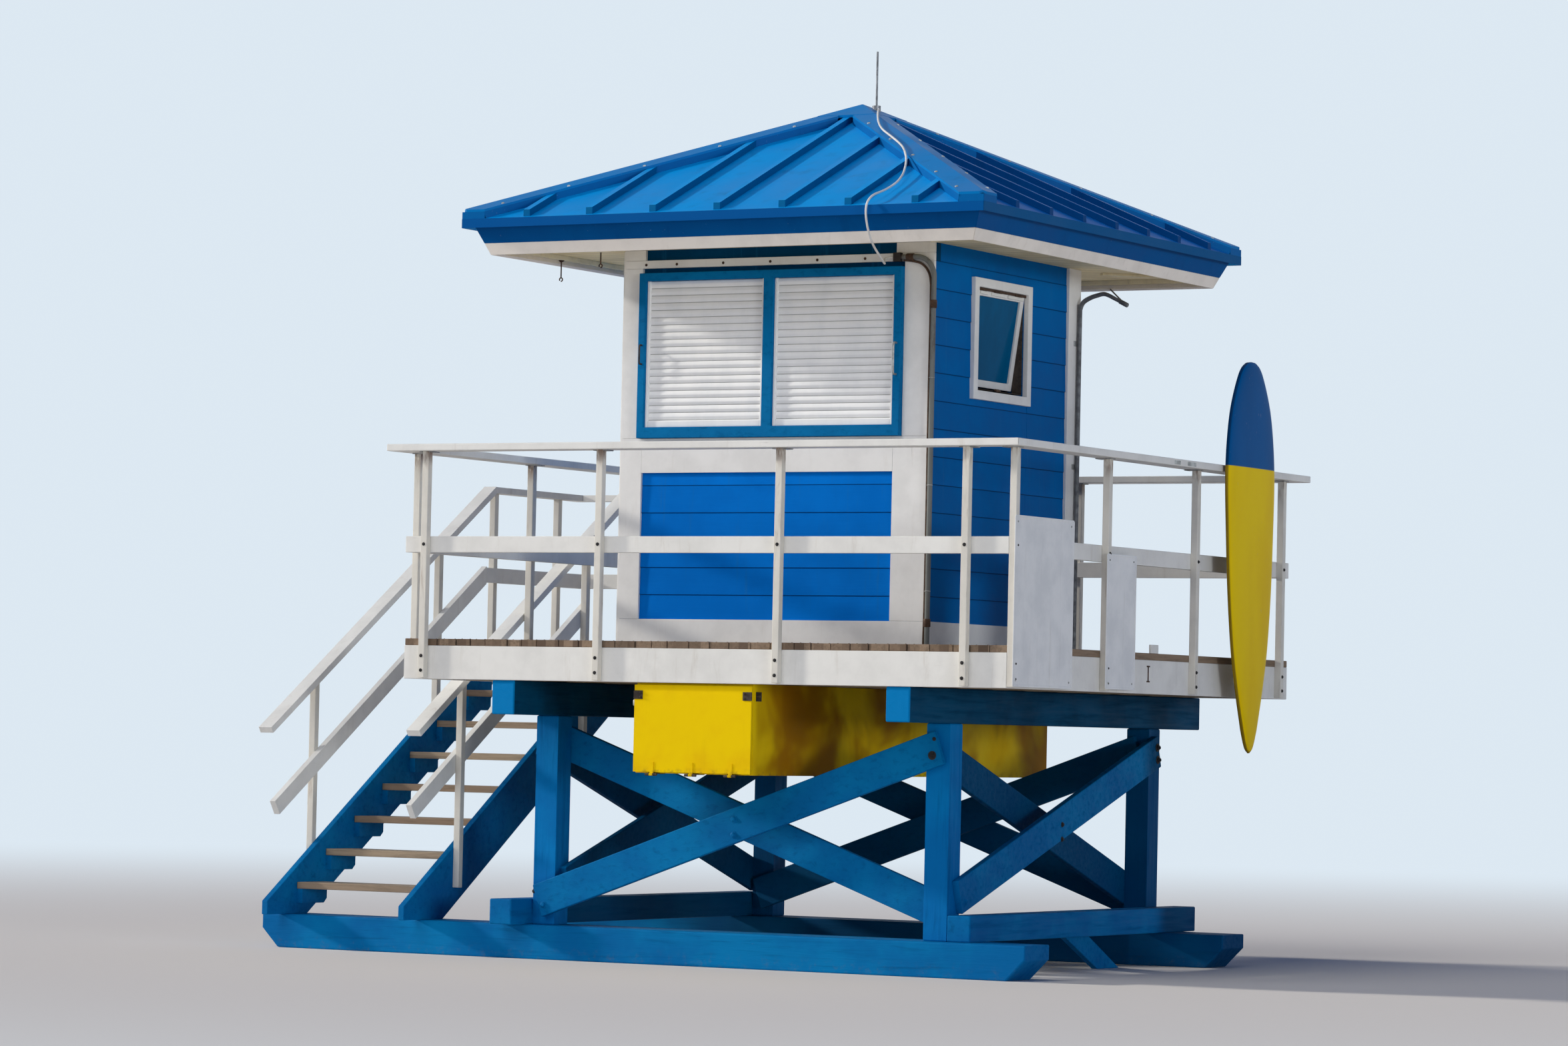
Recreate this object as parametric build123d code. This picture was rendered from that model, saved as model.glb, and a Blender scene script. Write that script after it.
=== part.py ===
from build123d import *
import math
import os

os.makedirs("parts", exist_ok=True)

# Lifeguard tower on skids, millimetres, +Z up, the stair at -X, the shutters at -Y.

# deck
deck_width = 3720
deck_depth = 3550
deck_top = 1750
plank = 38
joist_height = 184
joist_pitch = 395

# base, its places across given from the edge of the deck
skid_width = 290
skid_height = 189
skid_bevel = 110
skid_inset = 540
post_size = 140
post_inset_x = 640
post_inset_y = 553
sill_reach = 225
header_height = 186
header_inset = 14
header_reach = 55
brace_width = 184

# guard rail, its posts spread along each side as shares of the half length
guard_height = 1067
guard_post = 40
cap_width = 140
mid_rail_height = 89
mid_rail_level = 518
posts_front = (-0.927, -0.325, 0.273, 0.872)
posts_right = (-0.988, -0.372, 0.259, 0.913)
posts_left = (-0.924, -0.263, 0.361)

# stair on the left, beside the deck
stair_gap = 130
stair_width = 920
stair_rise = 187
stair_run = 281
tread_count = 7
tread_depth = 250
last_riser = 259
first_tread_y = -1142
stringer_depth = 284
stringer_foot_y = -1550
stringer_foot_level = 266
cleat_height = 82
landing_front = 738

# rails of the stair: level of the middle of each one at its foot and on the landing
hand_foot_y = -1535
hand_foot_level = 1221
hand_bend_y = 760
hand_level = 952
mid_foot_y = -1500
mid_foot_level = 774
mid_bend_y = 650
mid_level = 435
inner_mid_end = 330
outer_post_y = (-1050, 212)
inner_post_y = (-1043, 260)
landing_post_y = (806, 1531)

# hut
hut_width = 1926
hut_depth = 1770
hut_y = -96
wall = 90
soffit_level = 3938
room_door_width = 760
room_door_height = 1960
trim = 20
base_board = 138
corner_board = 150

# shutters in the front wall
frame_left = 116
frame_right = 160
frame_depth = 58
frame_bottom = 2889
frame_top = 3806
jamb = 44
mullion = 62
sill_bar = 60
slat_count = 20

# window in the right wall
window_y = -184
window_width = 595
window_bottom = 3170
window_height = 568
sash_tilt = 8

# roof
roof_y = -49
apex_level = 4776
roof_rise = 0.436
eave_reach = 1620
roof_thickness = 50
seam_pitch = 402
seam_width = 40
seam_height = 38
cap_strip = 210
apex_cap = 112
antenna_tip = 5124
antenna_x = 90

# long board on the right rail
board_stand_off = 140
board_thickness = 45
board_length = 2207
board_bottom = 1206
board_y = 969
board_lean = 1.6

# locker
locker_left = -391
locker_right = 333
locker_front_inset = 29
locker_rear_inset = 3
locker_bottom = 1043
locker_skin = 20
door_thickness = 18
door_gap = 6

# sizes that follow from the ones above
half_w = deck_width / 2
half_d = deck_depth / 2
stair_inner = -half_w - stair_gap
stair_outer = stair_inner - stair_width
skid_left = stair_outer - 133
skid_right = half_w - 61
skid_y = half_d - skid_inset
post_x = half_w - post_inset_x
post_y = half_d - post_inset_y
board_face = half_w + board_stand_off
locker_front = locker_front_inset - half_d
locker_rear = half_d - locker_rear_inset

# the part's origin lies on the floor in the middle of its box
origin_x = (skid_left + board_face) / 2

joist_top = deck_top - plank
joist_bottom = joist_top - joist_height
header_bottom = joist_bottom - header_height
guard_top = deck_top + guard_height
cap_bottom = guard_top - plank


def block(x0, x1, y0, y1, z0, z1):
    return Pos((x0 + x1) / 2, (y0 + y1) / 2, (z0 + z1) / 2) * Box(x1 - x0, y1 - y0, z1 - z0)


def along_x(points, x0, x1):
    """Outline of (y, z) points, carried along X."""
    face = make_face(Polyline(*[(x0, y, z) for y, z in points], close=True))
    return extrude(face, amount=x1 - x0, dir=(1, 0, 0))


def along_y(points, y0, y1):
    """Outline of (x, z) points, carried along Y."""
    face = make_face(Polyline(*[(x, y0, z) for x, z in points], close=True))
    return extrude(face, amount=y1 - y0, dir=(0, 1, 0))


def along_z(points, z0, z1):
    """Outline of (x, y) points, carried along Z."""
    face = make_face(Polyline(*[(x, y, z0) for x, y in points], close=True))
    return extrude(face, amount=z1 - z0, dir=(0, 0, 1))


def tube(points, radius, bend):
    """Round bar along a line of points with bends of the given radius."""
    path = FilletPolyline(*points, radius=bend)
    start = Plane(origin=path @ 0, z_dir=path % 0)
    return sweep(start * Circle(radius), path=path)


def save(name, solids):
    flat = []
    for item in solids:
        flat.extend((Pos(-origin_x, 0, 0) * item).solids())
    export_step(Compound(children=flat), "parts/" + name + ".step")


# skids with bevelled lower ends
skids = []
for side in (-1, 1):
    outline = [
        (skid_left, skid_height),
        (skid_left, skid_bevel),
        (skid_left + skid_bevel, 0),
        (skid_right - skid_bevel, 0),
        (skid_right, skid_bevel),
        (skid_right, skid_height),
    ]
    middle = side * skid_y
    skids.append(along_y(outline, middle - skid_width / 2, middle + skid_width / 2))
save("skids", skids)

# cross sills beside the posts
half_post = post_size / 2
sill_top = skid_height + post_size
post_front = -post_y - half_post
post_rear = post_y + half_post
sill_in = post_x + half_post
sill_out = sill_in + post_size
left_sill = block(-sill_out, -sill_in, post_front - sill_reach, post_rear, skid_height, sill_top)
right_sill = block(sill_in, sill_out, post_front, post_rear + sill_reach, skid_height, sill_top)
save("sills", [left_sill, right_sill])

# posts and headers
posts = []
headers = []
for side_x in (-1, 1):
    x = side_x * post_x
    for side_y in (-1, 1):
        y = side_y * post_y
        stand = Box(post_size, post_size, header_bottom - skid_height)
        posts.append(Pos(x, y, (skid_height + header_bottom) / 2) * stand)
    headers.append(
        block(
            x - half_post,
            x + half_post,
            header_inset - half_d,
            half_d + header_reach,
            header_bottom,
            joist_bottom,
        )
    )
save("posts", posts)
save("headers", headers)


def brace_outline(u0, w0, u1, w1, floor):
    """Board of the brace width from one end point to the other, its ends square."""
    run = u1 - u0
    rise = w1 - w0
    length = math.hypot(run, rise)
    du = run / length
    dw = rise / length
    h = brace_width / 2
    corners = [(u0, w0, 1), (u1, w1, 1), (u1, w1, -1), (u0, w0, -1)]
    return [(u - s * dw * h, max(w + s * du * h, floor)) for u, w, s in corners]


# cross braces, the outer ones on the faces of the posts, the inner ones behind them
brace_low = skid_height + 130
brace_high = header_bottom - 128
braces = []
reach = post_x + 20
side_low = sill_top + 92
side_reach = post_y - 10


def mirrored(points):
    return [(-u, w) for u, w in points]


for side in (-1, 1):
    rising = brace_outline(-reach, brace_low, reach, brace_high, skid_height + 1)
    outer = side * (post_y + half_post)
    inner = side * (post_y - half_post)
    y0, y1 = sorted((outer, outer + side * plank))
    braces.append(along_y(rising if side < 0 else mirrored(rising), y0, y1))
    y0, y1 = sorted((inner, inner - side * plank))
    braces.append(along_y(mirrored(rising) if side < 0 else rising, y0, y1))
for side in (-1, 1):
    rising = brace_outline(-side_reach, side_low, side_reach, brace_high, sill_top + 1)
    outer = side * (post_x + half_post)
    inner = side * (post_x - half_post)
    x0, x1 = sorted((outer, outer + side * plank))
    braces.append(along_x(rising if side > 0 else mirrored(rising), x0, x1))
    x0, x1 = sorted((inner, inner - side * plank))
    braces.append(along_x(mirrored(rising) if side > 0 else rising, x0, x1))
stay = [(0, skid_height), (290, skid_height), (690, 0), (420, 0)]
braces.append(along_x(stay, post_x + half_post + 20, post_x + half_post + 20 + plank))
save("braces", braces)

# deck joists and the joists of the landing
fascia_out_x = half_w
fascia_out_y = half_d
fascia_in_x = fascia_out_x - plank
fascia_in_y = fascia_out_y - plank
joists = []
count = int((2 * fascia_in_y - 2 * plank) // joist_pitch)
first = -count * joist_pitch / 2
for i in range(count + 1):
    y = first + i * joist_pitch
    joists.append(block(-fascia_in_x, fascia_in_x, y - plank / 2, y + plank / 2, joist_bottom, joist_top))
landing_out = stair_outer - plank / 2
landing_joist_y0 = landing_front + plank + 1
for share in (0.38, 0.72):
    x = stair_outer + share * (stair_width + stair_gap)
    joists.append(
        block(x - plank / 2, x + plank / 2, landing_joist_y0, fascia_in_y - 1, joist_bottom, joist_top)
    )
save("joists", joists)

# outer boards of the deck and of the landing
fascia = []
for side in (-1, 1):
    y0, y1 = sorted((side * fascia_out_y, side * fascia_in_y))
    fascia.append(block(-fascia_out_x, fascia_out_x, y0, y1, joist_bottom, joist_top))
    x0, x1 = sorted((side * fascia_out_x, side * fascia_in_x))
    fascia.append(block(x0, x1, -fascia_in_y + 1, fascia_in_y - 1, joist_bottom, joist_top))
land_x1 = -fascia_out_x - 1
fascia.append(block(landing_out, land_x1, landing_front, landing_front + plank, joist_bottom, joist_top))
fascia.append(block(landing_out, land_x1, fascia_in_y, fascia_out_y, joist_bottom, joist_top))
side_y0 = landing_front + plank + 1
fascia.append(block(landing_out, landing_out + plank, side_y0, fascia_in_y - 1, joist_bottom, joist_top))
save("deck_fascia", fascia)

# deck and landing
deck = block(-half_w, half_w, -half_d, half_d, joist_top, deck_top)
landing = block(landing_out, -half_w - 4, landing_front - 6, half_d, joist_top, deck_top)
save("deck", [deck, landing])

# guard posts on the outer boards
post_foot = joist_bottom + 6
row_y = fascia_out_y + guard_post / 2
row_x = fascia_out_x + guard_post / 2
guard_posts = []


def guard(x, y, z0, z1):
    h = guard_post / 2
    guard_posts.append(block(x - h, x + h, y - h, y + h, z0, z1))


for share in posts_front:
    guard(share * half_w, -row_y, post_foot, cap_bottom)
    guard(share * half_w, row_y, post_foot, cap_bottom)
for share in posts_right:
    guard(row_x, share * half_d, post_foot, cap_bottom)
for share in posts_left:
    guard(-row_x, share * half_d, post_foot, cap_bottom)
left_end = posts_left[-1] * half_d + 40

# flat caps, mitred at the corners
half_cap = cap_width / 2
cap_x0 = row_x - half_cap
cap_x1 = row_x + half_cap
cap_y0 = row_y - half_cap
cap_y1 = row_y + half_cap
front_cap = [(-cap_x1, -cap_y1), (cap_x1, -cap_y1), (cap_x0, -cap_y0), (-cap_x0, -cap_y0)]
right_cap = [
    (cap_x1, -cap_y1 + 3),
    (cap_x1, cap_y1 - 3),
    (cap_x0, cap_y0 - 3),
    (cap_x0, -cap_y0 + 3),
]
left_cap = [
    (-cap_x1, -cap_y1 + 3),
    (-cap_x0, -cap_y0 + 3),
    (-cap_x0, left_end),
    (-cap_x1, left_end),
]
rear_cap = [(x, -y) for x, y in front_cap]
caps = [along_z(plan, cap_bottom, guard_top) for plan in (front_cap, right_cap, rear_cap, left_cap)]
save("guard_caps", caps)

# mid rails inside the posts
mid_z0 = deck_top + mid_rail_level - mid_rail_height / 2
mid_z1 = mid_z0 + mid_rail_height
mid_y = row_y - guard_post / 2
mid_x = row_x - guard_post / 2
mids = [
    block(-half_w - 8, mid_x, -mid_y, -mid_y + plank, mid_z0, mid_z1),
    block(mid_x - plank, mid_x, -mid_y + plank + 2, mid_y - plank - 2, mid_z0, mid_z1),
    block(-half_w - 8, mid_x, mid_y - plank, mid_y, mid_z0, mid_z1),
    block(-mid_x, -mid_x + plank, -mid_y + plank + 2, left_end - 10, mid_z0, mid_z1),
]
save("guard_mid_rails", mids)

# stair stringers
slope = stair_rise / stair_run
tilt = math.atan(slope)
drop = stringer_depth / math.cos(tilt)


def edge_level(y):
    return stringer_foot_level + slope * (y - stringer_foot_y)


top_y = stringer_foot_y + (joist_top - stringer_foot_level) / slope
heel_y = stringer_foot_y + (skid_height + drop - stringer_foot_level) / slope
stringer = [
    (stringer_foot_y, stringer_foot_level),
    (top_y, joist_top),
    (landing_front - 1, joist_top),
    (landing_front - 1, edge_level(landing_front - 1) - drop),
    (heel_y, skid_height),
    (stringer_foot_y, skid_height),
]
half_plank = plank / 2
stringers = []
for x in (stair_outer, stair_inner):
    stringers.append(along_x(stringer, x - half_plank, x + half_plank))
save("stair_stringers", stringers)

# treads and the cleats that carry them, whose rear corners are cut off
treads = []
cleats = []
tread_x0 = stair_outer + half_plank
tread_x1 = stair_inner - half_plank
half_tread = tread_depth / 2
for i in range(tread_count):
    y = first_tread_y + i * stair_run
    z = deck_top - last_riser - (tread_count - 1 - i) * stair_rise
    treads.append(block(tread_x0 + 1, tread_x1 - 1, y - half_tread, y + half_tread, z - plank, z))
    top = z - plank
    low = top - cleat_height
    outline = [
        (y - half_tread + 4, top),
        (y + half_tread, top),
        (y + half_tread, low + 26),
        (y + half_tread - 30, low),
        (y - half_tread + 4, low),
    ]
    cleats.append(along_x(outline, tread_x0, tread_x0 + plank))
    cleats.append(along_x(outline, tread_x1 - plank, tread_x1))
save("stair_treads", treads)
save("tread_cleats", cleats)

# hand rails lie flat on the posts, mid rails stand on edge beside them
hand_z = deck_top + hand_level
mid_z = deck_top + mid_level
outer_post_x = stair_outer - half_plank - guard_post / 2
inner_post_x = stair_inner + half_plank + guard_post / 2
half_rail = mid_rail_height / 2


def hand_middle(y):
    return hand_foot_level + (hand_z - hand_foot_level) * (y - hand_foot_y) / (hand_bend_y - hand_foot_y)


def mid_middle(y):
    return mid_foot_level + (mid_z - mid_foot_level) * (y - mid_foot_y) / (mid_bend_y - mid_foot_y)


def slanted(x0, x1, y0, y1, middle, thick):
    """Sloping board whose middle line runs at the given levels, its foot cut square."""
    run = y1 - y0
    rise = middle(y1) - middle(y0)
    h = thick / 2 * math.hypot(run, rise) / run
    back = 2 * h * rise * run / (run * run + rise * rise)
    return along_x(
        [
            (y0, middle(y0) + h),
            (y0 + back, middle(y0 + back) - h),
            (y1, middle(y1) - h),
            (y1, middle(y1) + h),
        ],
        x0,
        x1,
    )


rails = []
for post_line in (outer_post_x, inner_post_x):
    x0 = post_line - half_rail
    x1 = post_line + half_rail
    rails.append(slanted(x0, x1, hand_foot_y, hand_bend_y - 1, hand_middle, plank))
for middle_x, mid_end in ((stair_outer, mid_bend_y - 1), (stair_inner, inner_mid_end)):
    x0 = middle_x - half_plank
    x1 = middle_x + half_plank
    rails.append(slanted(x0, x1, mid_foot_y, mid_end, mid_middle, mid_rail_height))

# level rails along the outer side and the rear of the landing
landing_end = -half_w - 90
outer_x0 = outer_post_x - half_rail
outer_x1 = outer_post_x + half_rail
rear_rail_y = half_d + guard_post / 2
rear_y0 = rear_rail_y - half_rail
rear_y1 = rear_rail_y + half_rail
hand_z0 = hand_z - half_plank
hand_z1 = hand_z + half_plank
rails.append(block(outer_x0, outer_x1, hand_bend_y + 1, rear_y1, hand_z0, hand_z1))
rails.append(block(outer_x1 + 1, landing_end, rear_y0, rear_y1, hand_z0, hand_z1))
edge_x0 = stair_outer - half_plank
edge_x1 = stair_outer + half_plank
level_z0 = mid_z - half_rail
level_z1 = mid_z + half_rail
rails.append(block(edge_x0, edge_x1, mid_bend_y + 1, half_d - plank - 1, level_z0, level_z1))
rails.append(block(edge_x0, landing_end, half_d - plank, half_d, level_z0, level_z1))
save("stair_rails", rails)

# posts of the stair and of the landing, up to the underside of the hand rails
rail_slope = (hand_z - hand_foot_level) / (hand_bend_y - hand_foot_y)
under_hand = plank / 2 * math.hypot(1, rail_slope)


def stair_post(x, y):
    """Post with its head cut to the slope of the hand rail."""
    foot = edge_level(y) - drop * 0.7
    h = guard_post / 2
    head = [(y0, hand_middle(y0) - under_hand) for y0 in (y + h, y - h)]
    guard_posts.append(along_x([(y - h, foot), (y + h, foot)] + head, x - h, x + h))


for y in outer_post_y:
    stair_post(outer_post_x, y)
for y in inner_post_y:
    stair_post(inner_post_x, y)
for y in landing_post_y:
    guard(outer_post_x, y, post_foot, hand_z0)
guard(stair_outer + 0.49 * stair_width, rear_rail_y, post_foot, hand_z0)
save("guard_posts", guard_posts)

# hut walls
hut_x = hut_width / 2
front_y = hut_y - hut_depth / 2
rear_y = hut_y + hut_depth / 2
frame_x0 = -hut_x + frame_left
frame_x1 = hut_x - frame_right
bay_x0 = frame_x0 + jamb
bay_x1 = frame_x1 - jamb
bay_z0 = frame_bottom + sill_bar
bay_z1 = frame_top - jamb
mullion_x0 = (bay_x0 + bay_x1 - mullion) / 2
mullion_x1 = mullion_x0 + mullion
window_y0 = window_y - window_width / 2
window_y1 = window_y + window_width / 2
window_z0 = window_bottom
window_z1 = window_bottom + window_height
door_y0 = hut_y - 100
door_y1 = door_y0 + room_door_width
door_top = deck_top + room_door_height
wall_front = block(-hut_x, hut_x, front_y, front_y + wall, deck_top, soffit_level)
wall_front -= block(bay_x0, bay_x1, front_y - 5, front_y + wall + 5, bay_z0, bay_z1)
save("wall_front", [wall_front])
wall_rear = block(-hut_x, hut_x, rear_y - wall, rear_y, deck_top, soffit_level)
save("wall_rear", [wall_rear])
wall_left = block(-hut_x, -hut_x + wall, front_y + wall, rear_y - wall, deck_top, soffit_level)
wall_left -= block(-hut_x - 5, -hut_x + wall + 5, door_y0, door_y1, deck_top - 5, door_top)
save("wall_left", [wall_left])
wall_right = block(hut_x - wall, hut_x, front_y + wall, rear_y - wall, deck_top, soffit_level)
wall_right -= block(hut_x - wall - 5, hut_x + 5, window_y0, window_y1, window_z0, window_z1)
save("wall_right", [wall_right])

# door on the stair side, closed in its opening
leaf = block(-hut_x + 20, -hut_x + 64, door_y0, door_y1, deck_top, door_top)
save("entrance_door", [leaf])

# trim boards on the walls
base_top = deck_top + base_board
head_z0 = frame_top + 29
head_z1 = head_z0 + 44
left_board = bay_x0 - 28
right_board = bay_x1 - 8
panel_top = frame_bottom - 191
trim_top = soffit_level - 1
corner = hut_x + trim
trims = [
    block(-hut_x, corner, front_y - trim, front_y, deck_top, base_top),
    block(-hut_x, left_board, front_y - trim, front_y, base_top + 1, frame_bottom - 1),
    block(right_board, corner, front_y - trim, front_y, base_top + 1, frame_bottom - 1),
    block(left_board + 1, right_board - 1, front_y - trim, front_y, panel_top, frame_bottom - 1),
    block(-hut_x, frame_x0 - 1, front_y - trim, front_y, frame_bottom, frame_top + 28),
    block(frame_x1 + 1, corner, front_y - trim, front_y, frame_bottom, frame_top + 28),
    block(-hut_x, corner, front_y - trim, front_y, head_z0, head_z1),
    block(-hut_x, left_board, front_y - trim, front_y, head_z1 + 1, trim_top),
    block(right_board, corner, front_y - trim, front_y, head_z1 + 1, trim_top),
    block(hut_x, corner, front_y + 1, rear_y, deck_top, base_top),
    block(hut_x, corner, rear_y - corner_board, rear_y, base_top + 1, trim_top),
    block(-corner, -hut_x, front_y, door_y0 - 61, deck_top, base_top),
    block(-corner, -hut_x, door_y1 + 61, rear_y, deck_top, base_top),
    block(-corner, -hut_x, rear_y - corner_board, rear_y, base_top + 1, trim_top),
    block(-corner, -hut_x, front_y, front_y + corner_board, base_top + 1, trim_top),
    block(-corner, -hut_x, door_y0 - 60, door_y0, deck_top, door_top),
    block(-corner, -hut_x, door_y1, door_y1 + 60, deck_top, door_top),
    block(-corner, -hut_x, door_y0 - 60, door_y1 + 60, door_top + 1, door_top + 61),
    block(-hut_x, hut_x, rear_y, rear_y + trim, deck_top, base_top),
    block(-hut_x, -hut_x + corner_board, rear_y, rear_y + trim, base_top + 1, trim_top),
    block(hut_x - corner_board, hut_x, rear_y, rear_y + trim, base_top + 1, trim_top),
]
save("hut_trim", trims)

# shutter frame with one mullion
frame_face = front_y - frame_depth
frame_out = block(frame_x0, frame_x1, frame_face, front_y, frame_bottom, frame_top)
for x0, x1 in ((bay_x0, mullion_x0), (mullion_x1, bay_x1)):
    frame_out -= block(x0, x1, frame_face - 5, front_y + 5, bay_z0, bay_z1)
save("shutter_frame", [frame_out])

# closed curtain of rounded slats in each bay, between two guides
slat_pitch = (bay_z1 - bay_z0) / slat_count
curtain_face = frame_face + 26
guide = 26


def curtain(x0, x1):
    points = [(curtain_face + 22, bay_z1), (curtain_face + 22, bay_z0)]
    for i in range(slat_count):
        z = bay_z0 + i * slat_pitch
        points.append((curtain_face + 9, z))
        points.append((curtain_face + 2, z + slat_pitch * 0.2))
        points.append((curtain_face, z + slat_pitch * 0.5))
        points.append((curtain_face + 2, z + slat_pitch * 0.8))
    points.append((curtain_face + 9, bay_z1))
    slats = along_x(points, x0 + guide / 2, x1 - guide / 2)
    for a, b in ((x0, x0 + guide), (x1 - guide, x1)):
        slats = slats + block(a, b, curtain_face - 8, curtain_face + 22, bay_z0, bay_z1)
    return slats


save("shutter_curtains", [curtain(bay_x0, mullion_x0), curtain(mullion_x1, bay_x1)])

# side window, its sash hung at the head and standing tilted inward
frame = block(hut_x, hut_x + 30, window_y0 - 50, window_y1 + 50, window_z0 - 50, window_z1 + 50)
frame -= block(hut_x - 5, hut_x + 35, window_y0, window_y1, window_z0, window_z1)
save("window_frame", [frame])
sash_height = window_height - 30
sash = block(-15, 15, window_y0 + 12, window_y1 - 12, -sash_height, 0)
sash -= block(-20, 20, window_y0 + 52, window_y1 - 52, -sash_height + 40, -40)
pane = block(-3, 3, window_y0 + 53, window_y1 - 53, -sash_height + 41, -41)
hang = Pos(hut_x - 5, 0, window_z1 - 15 * math.sin(math.radians(sash_tilt))) * Rot(0, sash_tilt, 0)
save("window_sash", [hang * sash])
save("window_glass", [hang * pane])

# roof, four panels cut from the shell of a pyramid
hill_half = eave_reach * 1.6
eave_low = apex_level - roof_rise * eave_reach - roof_thickness - 60
sky = apex_level + seam_height + 100


def hill(level):
    """Solid under the four slopes whose apex lies at the level."""
    low = level - roof_rise * hill_half
    outline = [(-hill_half, low), (0, level), (hill_half, low)]
    return along_x(outline, -hill_half, hill_half) & along_y(outline, -hill_half, hill_half)


def wedge(side, gap, near, far):
    """Plan of one side of the roof between two distances from the middle."""
    points = [(-near + gap, -near), (near - gap, -near), (far - gap, -far), (-far + gap, -far)]
    if near - gap < 1:
        points = [(0, -near), (far - gap, -far), (-far + gap, -far)]
    a = math.radians(90 * side)
    return [(x * math.cos(a) - y * math.sin(a), x * math.sin(a) + y * math.cos(a)) for x, y in points]


centre = Pos(0, roof_y, 0)
shell = hill(apex_level) - hill(apex_level - roof_thickness)
seam_shell = hill(apex_level + seam_height) - hill(apex_level - 6)
seams_a_side = int((eave_reach - 100) // seam_pitch)
seam_head = 130
seam_stop = 90
names = ("roof_front", "roof_right", "roof_rear", "roof_left")
for side, name in enumerate(names):
    body = shell & along_z(wedge(side, 1, 1, eave_reach), eave_low, sky)
    for k in range(-seams_a_side, seams_a_side + 1):
        x = k * seam_pitch
        inner = max(abs(x) + seam_stop, seam_head)
        strip = block(x - seam_width / 2, x + seam_width / 2, -eave_reach + 12, -inner, eave_low, sky)
        body = body + (seam_shell & (Rot(0, 0, 90 * side) * strip))
    save(name, [centre * body])

# broad caps over the hips and a small one over the apex
cap_under = apex_level + seam_height
cap_shell = hill(cap_under + 14) - hill(cap_under)
square = block(-eave_reach, eave_reach, -eave_reach, eave_reach, eave_low, sky)
hips = []
for side in range(4):
    hip_end = eave_reach * math.sqrt(2) - 20
    strip = block(apex_cap * 1.52, hip_end, -cap_strip / 2, cap_strip / 2, eave_low, sky)
    strip = Rot(0, 0, 45 + 90 * side) * strip
    hips.append(centre * (cap_shell & strip & square))
top = block(-apex_cap, apex_cap, -apex_cap, apex_cap, eave_low, sky)
hips.append(centre * ((hill(cap_under + 16) - hill(apex_level)) & top))
save("hip_caps", hips)


def under_roof(r):
    return apex_level - roof_thickness - roof_rise * r


def eave_boards(points, gap):
    """Board of the given (distance, level) profile along each eave, mitred at the corners."""
    far = max(r for r, z in points) + 40
    near = min(r for r, z in points) - 200
    low = min(z for r, z in points) - 20
    high = max(z for r, z in points) + 20
    boards = []
    for side in range(4):
        run = along_x([(-r, z) for r, z in points], -far, far)
        plan = along_z(wedge(0, gap, near, far), low, high)
        boards.append(centre * Rot(0, 0, 90 * side) * (run & plan))
    return boards


# the upper board leans outward under the sheet, the lower one hangs from it
lean = 23
outer_top = eave_reach - 48
outer_mid = outer_top - 44
outer_low = outer_mid - 27
mid_out = soffit_level + 3
mid_in = mid_out + 10
low_out = soffit_level - 60
low_in = low_out + 10
upper = [
    (outer_top, under_roof(outer_top)),
    (outer_mid, mid_out),
    (outer_mid - lean, mid_in),
    (outer_top - lean, under_roof(outer_top - lean)),
]
lower = [
    (outer_mid, mid_out),
    (outer_low, low_out),
    (outer_low - lean, low_in),
    (outer_mid - lean, mid_in),
]
save("upper_fascia", eave_boards(upper, 1))
save("lower_fascia", eave_boards(lower, 1))

soffit_side = 2 * (outer_low - 2)
soffit = Pos(0, roof_y, soffit_level + 6) * Box(soffit_side, soffit_side, 12)
save("soffit", [soffit])

# antenna on the apex cap
base_z = apex_level - roof_rise * antenna_x
whip = Pos(antenna_x, roof_y, base_z + 20) * Cylinder(24, 120)
whip += Pos(antenna_x, roof_y, (base_z + antenna_tip) / 2) * Cylinder(6, antenna_tip - base_z)
whip -= centre * hill(cap_under + 16)
save("antenna", [whip])

# fitting on the front wall, its pipe round to the corner and down
fit_x = frame_x1 - 35
fit_z = frame_top + 50
box_half = 24
pipe_x = corner + 8
pipe_y = front_y - trim - 16
conduit = tube([(fit_x + 20, pipe_y, fit_z), (pipe_x, pipe_y, fit_z), (pipe_x, pipe_y, deck_top)], 14, 110)
box = block(fit_x - box_half, fit_x + 20, front_y - 48, front_y - trim, fit_z - box_half, fit_z + box_half)
save("wall_conduit", [conduit + box])


def on_roof(x, y, lift):
    """Point over the roof sheet, given from the middle of the roof."""
    return (x, roof_y + y, apex_level - roof_rise * max(abs(x), abs(y)) + lift)


# cable from the foot of the antenna beside the hip and over the eave to the fitting
over_cap = seam_height + 32
cable_points = [
    on_roof(antenna_x + 28, -26, over_cap),
    on_roof(230, -250, over_cap),
    on_roof(386, -504, over_cap),
    on_roof(560, -680, over_cap),
    on_roof(700, -830, over_cap),
    on_roof(775, -930, over_cap),
    on_roof(870, -1078, 56),
    on_roof(960, -1300, 30),
    on_roof(965, -1480, 24),
    on_roof(945, -eave_reach + 15, 26),
    (935, roof_y - eave_reach - 28, under_roof(eave_reach) + 12),
    (915, roof_y - eave_reach + 60, low_out + 12),
    (860, roof_y - eave_reach + 289, low_out - 63),
    (fit_x + 2, front_y - 179, fit_z - 56),
    (fit_x - 78, front_y - 62, fit_z - 14),
    (fit_x - box_half - 20, front_y - 42, fit_z),
    (fit_x - box_half - 0.8, front_y - 38, fit_z),
]
cable_path = Spline(*cable_points)
cable = sweep(Plane(origin=cable_path @ 0, z_dir=cable_path % 0) * Circle(6), path=cable_path)
save("antenna_cable", [cable])

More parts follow.
